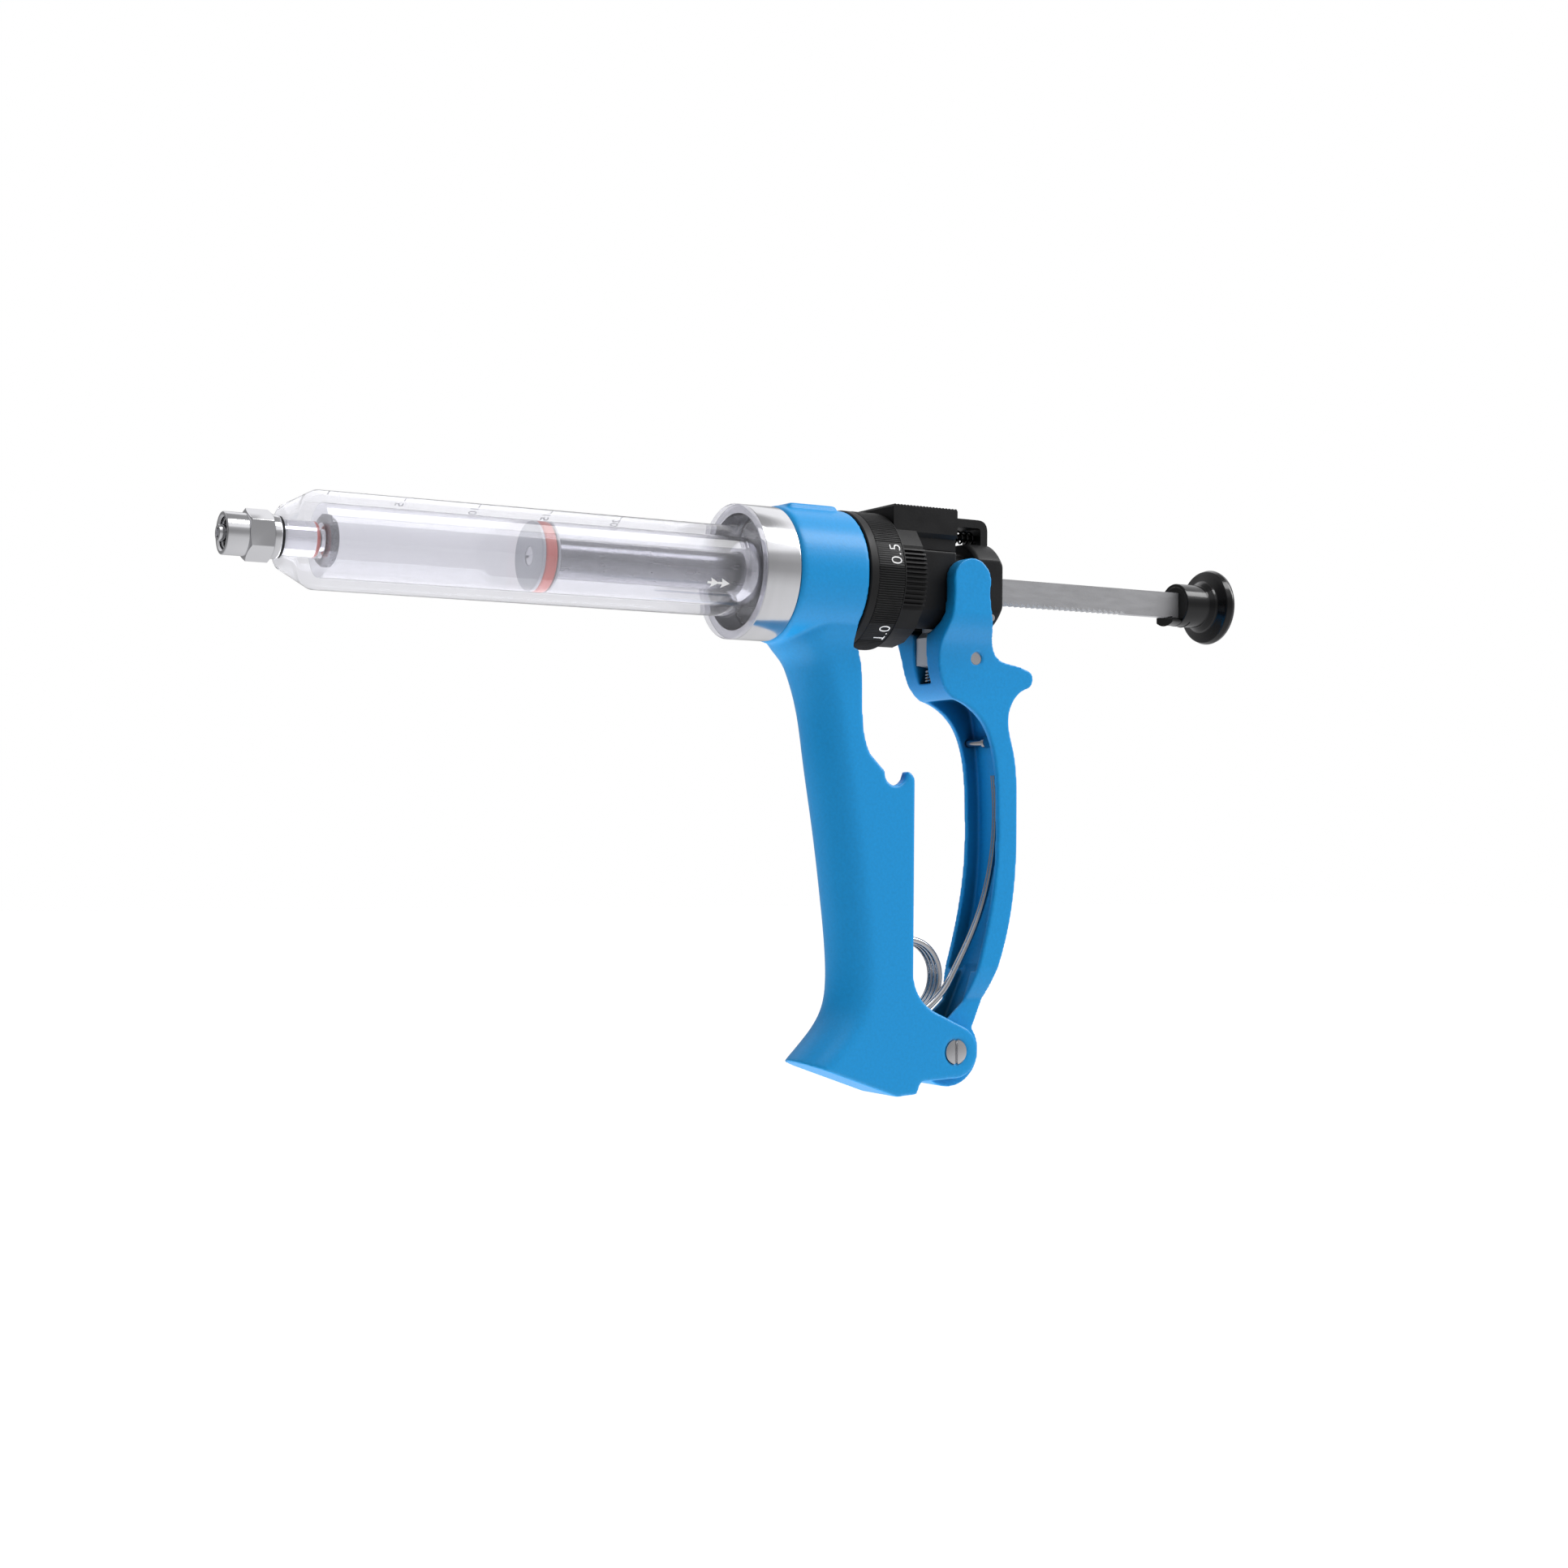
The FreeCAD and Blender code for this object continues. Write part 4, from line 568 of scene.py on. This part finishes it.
def thumb_knob():
    start = FACE + 138.2
    end = FACE + 153.8
    neck = 6.3
    outline = [(start + 0.35, 0), (start + 0.35, 5.2, 0.2), (start, 5.5, 0.1), (start, neck, 0.5),
               (start + 8.2, neck, 0.4), (start + 9.6, 7.4, 0.9), (start + 10.2, 7.6, 0.6),
               (start + 10.9, 9.6, 0.6), (start + 11.3, 10.6, 0.5), (start + 12.9, 11.1, 1.2),
               (end - 1.6, 10.7, 1.0), (end - 0.15, 9.0, 1.0), (end, 6.0, 1.0), (end, 0)]
    knob = lathe_mesh("knob", rounded(outline, closed=False, steps=5), closed=False, around=160)
    slot = box_mesh("slot", (start - 1, -SLOT_HALF, -3.98), (start + 6.4, SLOT_HALF, 3.58))
    piece("knob_body", carved(knob, slot), BLACK_GLOSS, "plunger", ["knob"])
    tongue_radius, flat = neck - 0.1, -4.05
    angles = [math.radians(v) for v in range(-33, 34, 6)]
    arc = [(tongue_radius * math.sin(a), -tongue_radius * math.cos(a)) for a in angles]
    outline = arc[::-1] + [(arc[0][0], flat), (arc[-1][0], flat)]
    tongue = extrude_mesh("tongue", outline, "X", start - 3.6, start + 3.0)
    piece("knob_tongue", bevelled(tongue, 0.3), BLACK_GLOSS, "plunger")
    use(STEEL, "knob_pin")


# ---------------------------------------------------------------- handle and lever

def handle():
    """The housing and handle moulding, its front edge rounded down to the ring, and its metal parts."""
    rim, length, height, outside, steps = 16.4, 2.3, 2.1, 21, 8
    lip = [(FACE - 2, outside), (FACE - 2, rim)]
    lip += [(FACE + length * (1 - math.cos(a)), rim + height * math.sin(a))
            for a in (math.pi / 2 * k / steps for k in range(steps + 1))]
    lip += [(FACE + length, outside)]
    shell = carved(cad_mesh("grip_housing"), lathe_mesh("groove", lip, around=128))
    piece("handle_moulding", softened(shell, 0.5, 8), BLUE, "root",
          ["grip_housing"], sharp=60)
    use(STEEL, "housing_screws", "detent_ball", "detent_spring", "pivot_nut")
    screw = bevelled(cad_mesh("pivot_screw"), 0.08, 2)
    piece("pivot_screw_head", screw, STEEL, "root", ["pivot_screw"])


def lever():
    """The lever moulding, opened further above its foot where the spring's leg runs."""
    foot = low("lever").z + 17.5
    top = foot + 15.5
    screw = low("pivot_screw").x
    width = 8.8
    hollow = [(screw - 12, foot), (screw + 8.5, foot), (screw + 15.6, top), (screw - 12, top)]
    shell = carved(cad_mesh("lever"), extrude_mesh("hollow", hollow, "Y", -width / 2, width / 2))
    piece("lever_moulding", softened(shell, 0.36, 5), BLUE, "lever",
          ["lever"], sharp=60)
    use(STEEL, "pawl_pin", "spring_stud", "check_pawl_pin")
    use(PAWL, "feed_pawl", "check_pawl")


def return_spring():
    """Coil across the handle; near leg up the lever's channel, far leg up inside the handle."""
    mean, wire, turns, steps = 10.4, 1.0, 3, 40
    pitch = 2 * wire + 0.15
    centre = Vector((FACE + 44.0, 0, -108.0))
    start_y = -pitch * turns / 2
    near_leg = [(71.3, -52.0), (72.0, -58.0), (72.1, -64.0), (71.6, -72.0), (70.2, -80.0), (67.9, -88.0),
                (64.9, -95.0), (61.0, -102.0), (57.6, -107.6), (54.9, -112.1)]
    points = [Vector((FACE + x, start_y, z)) for x, z in near_leg]
    lead = math.radians(60)
    total = turns * 2 * math.pi + math.pi - lead
    count = int(total / (2 * math.pi) * steps)
    for k in range(1, count + 1):
        a = lead + total * k / count
        y = start_y + pitch * turns * k / count
        points.append(centre + Vector((mean * math.cos(a), y, -mean * math.sin(a))))
    far_leg, leg_steps = 34.0, 7
    for k in range(1, leg_steps + 1):
        points.append(centre + Vector((-mean, -start_y, far_leg * k / leg_steps)))
    curve = bpy.data.curves.new("return_spring", "CURVE")
    curve.dimensions = "3D"
    spline = curve.splines.new("NURBS")
    spline.points.add(len(points) - 1)
    for spot, point in zip(spline.points, points):
        spot.co = (*(point * MM), 1)
    spline.order_u = 4
    spline.use_endpoint_u = True
    curve.resolution_u = 3
    curve.bevel_depth = (wire - 0.02) * MM
    curve.bevel_resolution = 6
    curve.use_fill_caps = True
    holder = bpy.data.objects.new("wire", curve)
    bpy.context.scene.collection.objects.link(holder)
    graph = bpy.context.evaluated_depsgraph_get()
    mesh = bpy.data.meshes.new_from_object(holder.evaluated_get(graph))
    bpy.data.objects.remove(holder)
    coil = piece("return_coil", mesh, SPRING, None, ["return_spring"], sharp=50)
    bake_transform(coil)


# ---------------------------------------------------------------- mechanism

def dose_dial():
    """Dial with a plain front rim, fine knurl round the numbered patches, and the numbers."""
    lo, hi = low("dose_ring").x, high("dose_ring").x
    base, crest, inner, rim_radius = 18.44, 18.66, 13.2, 18.62
    patch_base, patch_crest, patch_half = 18.5, 18.56, math.radians(10.5)
    columns = 184 * 4
    labels = [math.radians(18 - 72 * k) for k in range(5)]
    rim = lo + 2.6
    stations = [(lo, inner, False), (lo, 18.3, False), (lo + 0.25, rim_radius, False),
                (rim - 0.25, rim_radius, False), (rim, base, False), (rim + 0.15, crest, True),
                (hi - 0.65, crest, True), (hi - 0.5, base, False), (hi - 0.45, 18.6, False),
                (hi - 0.2, 18.6, False), (hi, 18.35, False), (hi, inner, False)]
    verts, faces = [], []
    for x, r, knurled in stations:
        for k in range(columns):
            a = 2 * math.pi * k / columns
            near = min(abs((a - b + math.pi) % (2 * math.pi) - math.pi) for b in labels)
            here = r
            if knurled and near > patch_half:
                here = crest if k % 4 < 2 else base
            elif knurled:
                here = patch_crest if k % 4 < 2 else patch_base
            verts.append((x, -here * math.cos(a), here * math.sin(a)))
    rows = len(stations)
    for i in range(rows):
        for k in range(columns):
            n = (k + 1) % columns
            j = (i + 1) % rows
            faces.append([i * columns + k, i * columns + n, j * columns + n, j * columns + k])
    piece("dose_dial", mesh_of("dose_dial", verts, faces), BLACK_KNURL, "dose_ring",
          ["dose_ring"], sharp=25)
    for k, angle in enumerate(labels):
        figures = dial_figures(f"dose_{k}", f"{0.5 * (k + 1):.1f}")
        digits = wrapped(figures, FACE + 29.9, patch_crest + 0.07, angle)
        piece(f"dose_number_{k}", digits, WHITE_INK, "dose_ring")
    use(BLACK, "dose_cam")


def dial_figures(name, word):
    """The number's figures set wide apart, with a foot under a 1."""
    spacing, depth, drop, foot_half, foot_height = 1.85, 0.06, 0.8, 0.85, 0.34
    glyphs = []
    for glyph, centre in zip(word, (-spacing, 0.0, spacing)):
        mesh = text_mesh(name, glyph, 3.4, depth, thin=0.05)
        across = [v.co.x for v in mesh.vertices]
        foot = min(v.co.y for v in mesh.vertices) - drop
        middle = (min(across) + max(across)) / 2
        mesh.transform(Matrix.Translation((centre - middle, -drop, 0)))
        glyphs.append(mesh)
        if glyph == "1":
            stem = centre - middle + max(across) - 0.2
            left, right, top = stem - foot_half, stem + foot_half, foot + foot_height
            corners = [(left, foot), (right, foot), (right, top), (left, top)]
            verts = [(x, y, lift) for lift in (-depth / 2, depth / 2) for x, y in corners]
            faces = [[3, 2, 1, 0], [4, 5, 6, 7]]
            faces += [[i, (i + 1) % 4, (i + 1) % 4 + 4, i + 4] for i in range(4)]
            bar = bpy.data.meshes.new("bar")
            bar.from_pydata(verts, [], faces)
            glyphs.append(bar)
    return joined(name, glyphs)


def stop_collar():
    """Collar with coarse ribs on both flanks and flat facets elsewhere."""
    lo, hi = low("stop_collar").x, high("stop_collar").x
    seat, seat_half, bore = 11.7, 11.5, 13.2
    valley, crest, facet, facet_end = 16.9, 17.65, 17.6, 17.3
    samples = []
    for side in (0, 180):
        for k in range(13):
            middle = side - 25 + 50 * k / 12
            for shift, r in ((-1.15, valley), (-0.75, crest), (0.75, crest), (1.15, valley)):
                samples.append((middle + shift, r))
    for base_angle in (30, 210):
        for k in range(7):
            samples.append((base_angle + 120 * k / 6, facet if k not in (0, 6) else facet_end))
    samples += [(a, facet) for a in (48.6, 48.8, 131.2, 131.4)]
    samples = sorted((a % 360, r) for a, r in samples)
    outer, inner = [], []
    for degrees, r in samples:
        a = math.radians(degrees)
        y, z = -r * math.cos(a), r * math.sin(a)
        if abs(y) < seat_half:
            z = min(z, seat)
        outer.append((y, z))
        inner.append((-bore * math.cos(a), min(bore * math.sin(a), seat - 0.1)))
    count = len(outer)
    rings = ((lo, outer), (hi, outer), (hi, inner), (lo, inner))
    verts = [(x, y, z) for x, ring in rings for y, z in ring]
    faces = []
    for i in range(4):
        j = (i + 1) % 4
        for k in range(count):
            n = (k + 1) % count
            faces.append([i * count + k, i * count + n, j * count + n, j * count + k])
    piece("ribbed_collar", mesh_of("ribbed_collar", verts, faces), BLACK, "root",
          ["stop_collar"], sharp=20)


def slide():
    """Thumb block with a serrated top, and a skirt down each flank of the housing."""
    lo, hi = low("release_slide"), high("release_slide")
    foot = lo.z + 3.0
    root = hi.z - 0.6
    ridges, ease = 20, 0.4
    pitch = (hi.x - lo.x) / ridges
    outline = [(lo.x, foot + ease), (lo.x + ease, foot), (hi.x - ease, foot), (hi.x, foot + ease),
               (hi.x, root)]
    for k in range(ridges):
        x = hi.x - pitch * k
        outline += [(x - 0.05, root), (x - 0.35, hi.z), (x - 0.6, hi.z), (x - pitch + 0.05, root)]
    outline += [(lo.x, root)]
    block = extrude_mesh("slide", outline, "Y", lo.y, hi.y)
    hollow = box_mesh("hollow", (lo.x + 5.4, -5.6, foot - 1), (hi.x + 1, 5.6, 19.1))
    outside = 11.2
    chamfers = []
    for side in (-1, 1):
        wedge = [(side * outside, foot - 0.2), (side * outside, foot + 1.4), (side * 9.9, foot - 0.2)]
        chamfers.append(extrude_mesh("wedge", wedge, "X", lo.x - 1, hi.x + 1))
        crown = [(side * outside, hi.z + 0.2), (side * outside, hi.z - 0.35), (side * 10.6, hi.z + 0.2)]
        chamfers.append(extrude_mesh("crown", crown, "X", lo.x - 1, hi.x + 1))
    block = carved(block, hollow, *chamfers)
    for side in (-1, 1):
        near, far = sorted((side * 9.02, side * 10.0))
        skirt = box_mesh("skirt", (FACE + 39.9, near, lo.z), (FACE + 53.2, far, foot + 0.6))
        block = carved(block, bevelled(skirt, 0.15, 2), operation="UNION")
    piece("slide_block", block, BLACK, "release_slide", ["release_slide"], sharp=20)


def guard():
    """Bent cover over the release spring, and the rod that carries the spring."""
    lo, hi = low("guard_bracket"), high("guard_bracket")
    under, inside = hi.z - 2.0, hi.x - 2.0
    outer = [(lo.x, under, 0), (lo.x, hi.z, 0.2), (hi.x, hi.z, 3.0), (hi.x, lo.z, 0.2),
             (inside, lo.z, 0.2), (inside, under, 1.2)]
    cover = extrude_mesh("guard", rounded(outer, steps=6), "Y", lo.y, hi.y)
    piece("guard_cover", bevelled(cover, 0.25, 2, 40), BLACK, "root", ["guard_bracket"],
          sharp=40)
    middle = (low("release_spring").z + high("release_spring").z) / 2
    start, end, radius = lo.x - 4, hi.x - 1.5, 0.9
    rod = [(end, 0), (end, radius, 0), (start, radius, 0.3), (start, 0)]
    pin = lathe_mesh("guard_rod", rounded(rod, closed=False), closed=False, around=32)
    pin.transform(Matrix.Translation((0, 0, middle * MM)))
    piece("guard_rod", pin, BLACK, "root")


def mechanism():
    piece("mechanism_body", softened(cad_mesh("mechanism_housing"), 0.36, 3), BLACK, "root",
          ["mechanism_housing"], sharp=60)


def small_springs():
    """Coils of the two pawls and the slide, each on its body with a mesh of its own."""
    length = high("release_spring").x - low("release_spring").x
    slide_travel = 3.0
    keep_released = 1 - slide_travel / length
    coils = [
        ("pawl_spring", "feed_pawl_pivot", "lever", (0, 0, 1), low, 0.7, SPRING),
        ("check_spring", "check_pawl_pivot", "root", (0, 0, 1), low, 0.8, SPRING),
        ("release_spring", "release_slide_travel", "root", (1, 0, 0), high, keep_released, BLACK_GLOSS),
    ]
    for node, joint, body, axis, fixed_end, keep, mat in coils:
        coil = piece(f"{node}_coil", cad_mesh(node), mat, body, [node], sharp=50)
        fixed_end(node) * MM
        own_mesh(coil)


# ---------------------------------------------------------------- studio

def studio():
    """White surround for the camera and for rays through the barrel; for the others a grey sky in
    bands, brighter behind the knob. A key light from above, one from below, and a pale floor."""
    world = bpy.data.worlds.new("studio")
    bpy.context.scene.world = world
    world.use_nodes = True
    tree = world.node_tree
    tree.nodes.clear()
    place = tree.nodes.new("ShaderNodeTexCoord")
    split = tree.nodes.new("ShaderNodeSeparateXYZ")
    tree.links.new(place.outputs["Generated"], split.inputs[0])
    height = tree.nodes.new("ShaderNodeMapRange")
    height.inputs["From Min"].default_value = -1
    tree.links.new(split.outputs["Z"], height.inputs["Value"])
    sky = tree.nodes.new("ShaderNodeValToRGB")
    tree.links.new(height.outputs["Result"], sky.inputs["Fac"])
    stops = [(0.0, 0.70), (0.30, 0.62), (0.40, 0.50), (0.50, 0.34), (0.60, 0.31), (0.71, 0.42),
             (0.77, 0.95), (0.91, 0.95), (0.94, 0.36), (1.0, 0.32)]
    while len(sky.color_ramp.elements) < len(stops):
        sky.color_ramp.elements.new(0.5)
    for element, (position, level) in zip(sky.color_ramp.elements, stops):
        element.position = position
        element.color = (level, level, level * 1.02, 1)
    around = tree.nodes.new("ShaderNodeBackground")
    tree.links.new(sky.outputs["Color"], around.inputs["Color"])
    lean = tree.nodes.new("ShaderNodeMapRange")
    lean.inputs["From Min"].default_value = -1
    lean.inputs["To Min"].default_value = 0.34
    lean.inputs["To Max"].default_value = 1.30
    tree.links.new(split.outputs["X"], lean.inputs["Value"])
    tree.links.new(lean.outputs["Result"], around.inputs["Strength"])
    plain = tree.nodes.new("ShaderNodeBackground")
    plain.inputs["Color"].default_value = (1, 1, 1, 1)
    ray = tree.nodes.new("ShaderNodeLightPath")
    seen = tree.nodes.new("ShaderNodeMath")
    seen.operation = "MAXIMUM"
    tree.links.new(ray.outputs["Is Camera Ray"], seen.inputs[0])
    tree.links.new(ray.outputs["Is Transmission Ray"], seen.inputs[1])
    mix = tree.nodes.new("ShaderNodeMixShader")
    out = tree.nodes.new("ShaderNodeOutputWorld")
    tree.links.new(seen.outputs[0], mix.inputs["Fac"])
    tree.links.new(around.outputs[0], mix.inputs[1])
    tree.links.new(plain.outputs[0], mix.inputs[2])
    tree.links.new(mix.outputs[0], out.inputs["Surface"])

    middle = (Vector(CAD_BOX[0]) + Vector(CAD_BOX[1])) / 2

    def softbox(name, offset, width, depth, watts, shine=True):
        """Area light facing the object, its long side as near to the barrel's direction as it goes."""
        back = Vector(offset).normalized()
        side = (Vector((1, 0, 0)) - back * back.x).normalized()
        light = bpy.data.lights.new(name, "AREA")
        light.shape = "RECTANGLE"
        light.size, light.size_y = width, depth
        light.energy = watts
        lamp = bpy.data.objects.new(name, light)
        turn = Matrix((side, back.cross(side), back)).transposed().to_4x4()
        lamp.matrix_world = Matrix.Translation(middle + Vector(offset)) @ turn
        lamp.visible_camera = False
        lamp.visible_glossy = shine
        bpy.context.scene.collection.objects.link(lamp)

    softbox("key", (0.5, -0.38, 0.78), 1.7, 0.36, 10.5)
    softbox("floor_fill", (0.0, 0.1, -0.34), 1.2, 0.9, 6.5, shine=False)

    bm = bmesh.new()
    bmesh.ops.create_grid(bm, x_segments=8, y_segments=8, size=12)
    mesh = bpy.data.meshes.new("floor")
    bm.to_mesh(mesh)
    bm.free()
    mesh.materials.append(FLOOR)
    floor_height = -0.45
    floor = bpy.data.objects.new("floor", mesh)
    floor.location = (middle.x, 0, floor_height)
    floor.visible_diffuse = False
    floor.visible_glossy = False
    bpy.context.scene.collection.objects.link(floor)


def camera():
    """The main viewpoint: from the near side, towards the nozzle and a little below the barrel."""
    azimuth, elevation, roll = (math.radians(v) for v in (-29.959, -1.537, 0.505))
    spot = Vector((-155.45, -536.70, -72.36))
    back = Vector((math.sin(azimuth) * math.cos(elevation), -math.cos(azimuth) * math.cos(elevation),
                   math.sin(elevation)))
    level = (-back).cross(Vector((0, 0, 1))).normalized()
    upright = level.cross(-back)
    right = level * math.cos(roll) + upright * math.sin(roll)
    up = upright * math.cos(roll) - level * math.sin(roll)
    lens = bpy.data.cameras.new("camera")
    lens.lens = 53.33
    lens.sensor_width = 36
    lens.clip_start = 0.01
    view = bpy.data.objects.new("camera", lens)
    turn = Matrix((right, up, back)).transposed().to_4x4()
    view.matrix_world = Matrix.Translation(spot * MM) @ turn
    bpy.context.scene.collection.objects.link(view)
    bpy.context.scene.camera = view


nozzle()
barrel()
ring_parts()
plunger()
thumb_knob()
handle()
lever()
return_spring()
dose_dial()
stop_collar()
slide()
guard()
mechanism()
small_springs()
studio()
camera()
bpy.context.scene.view_settings.view_transform = "Standard"
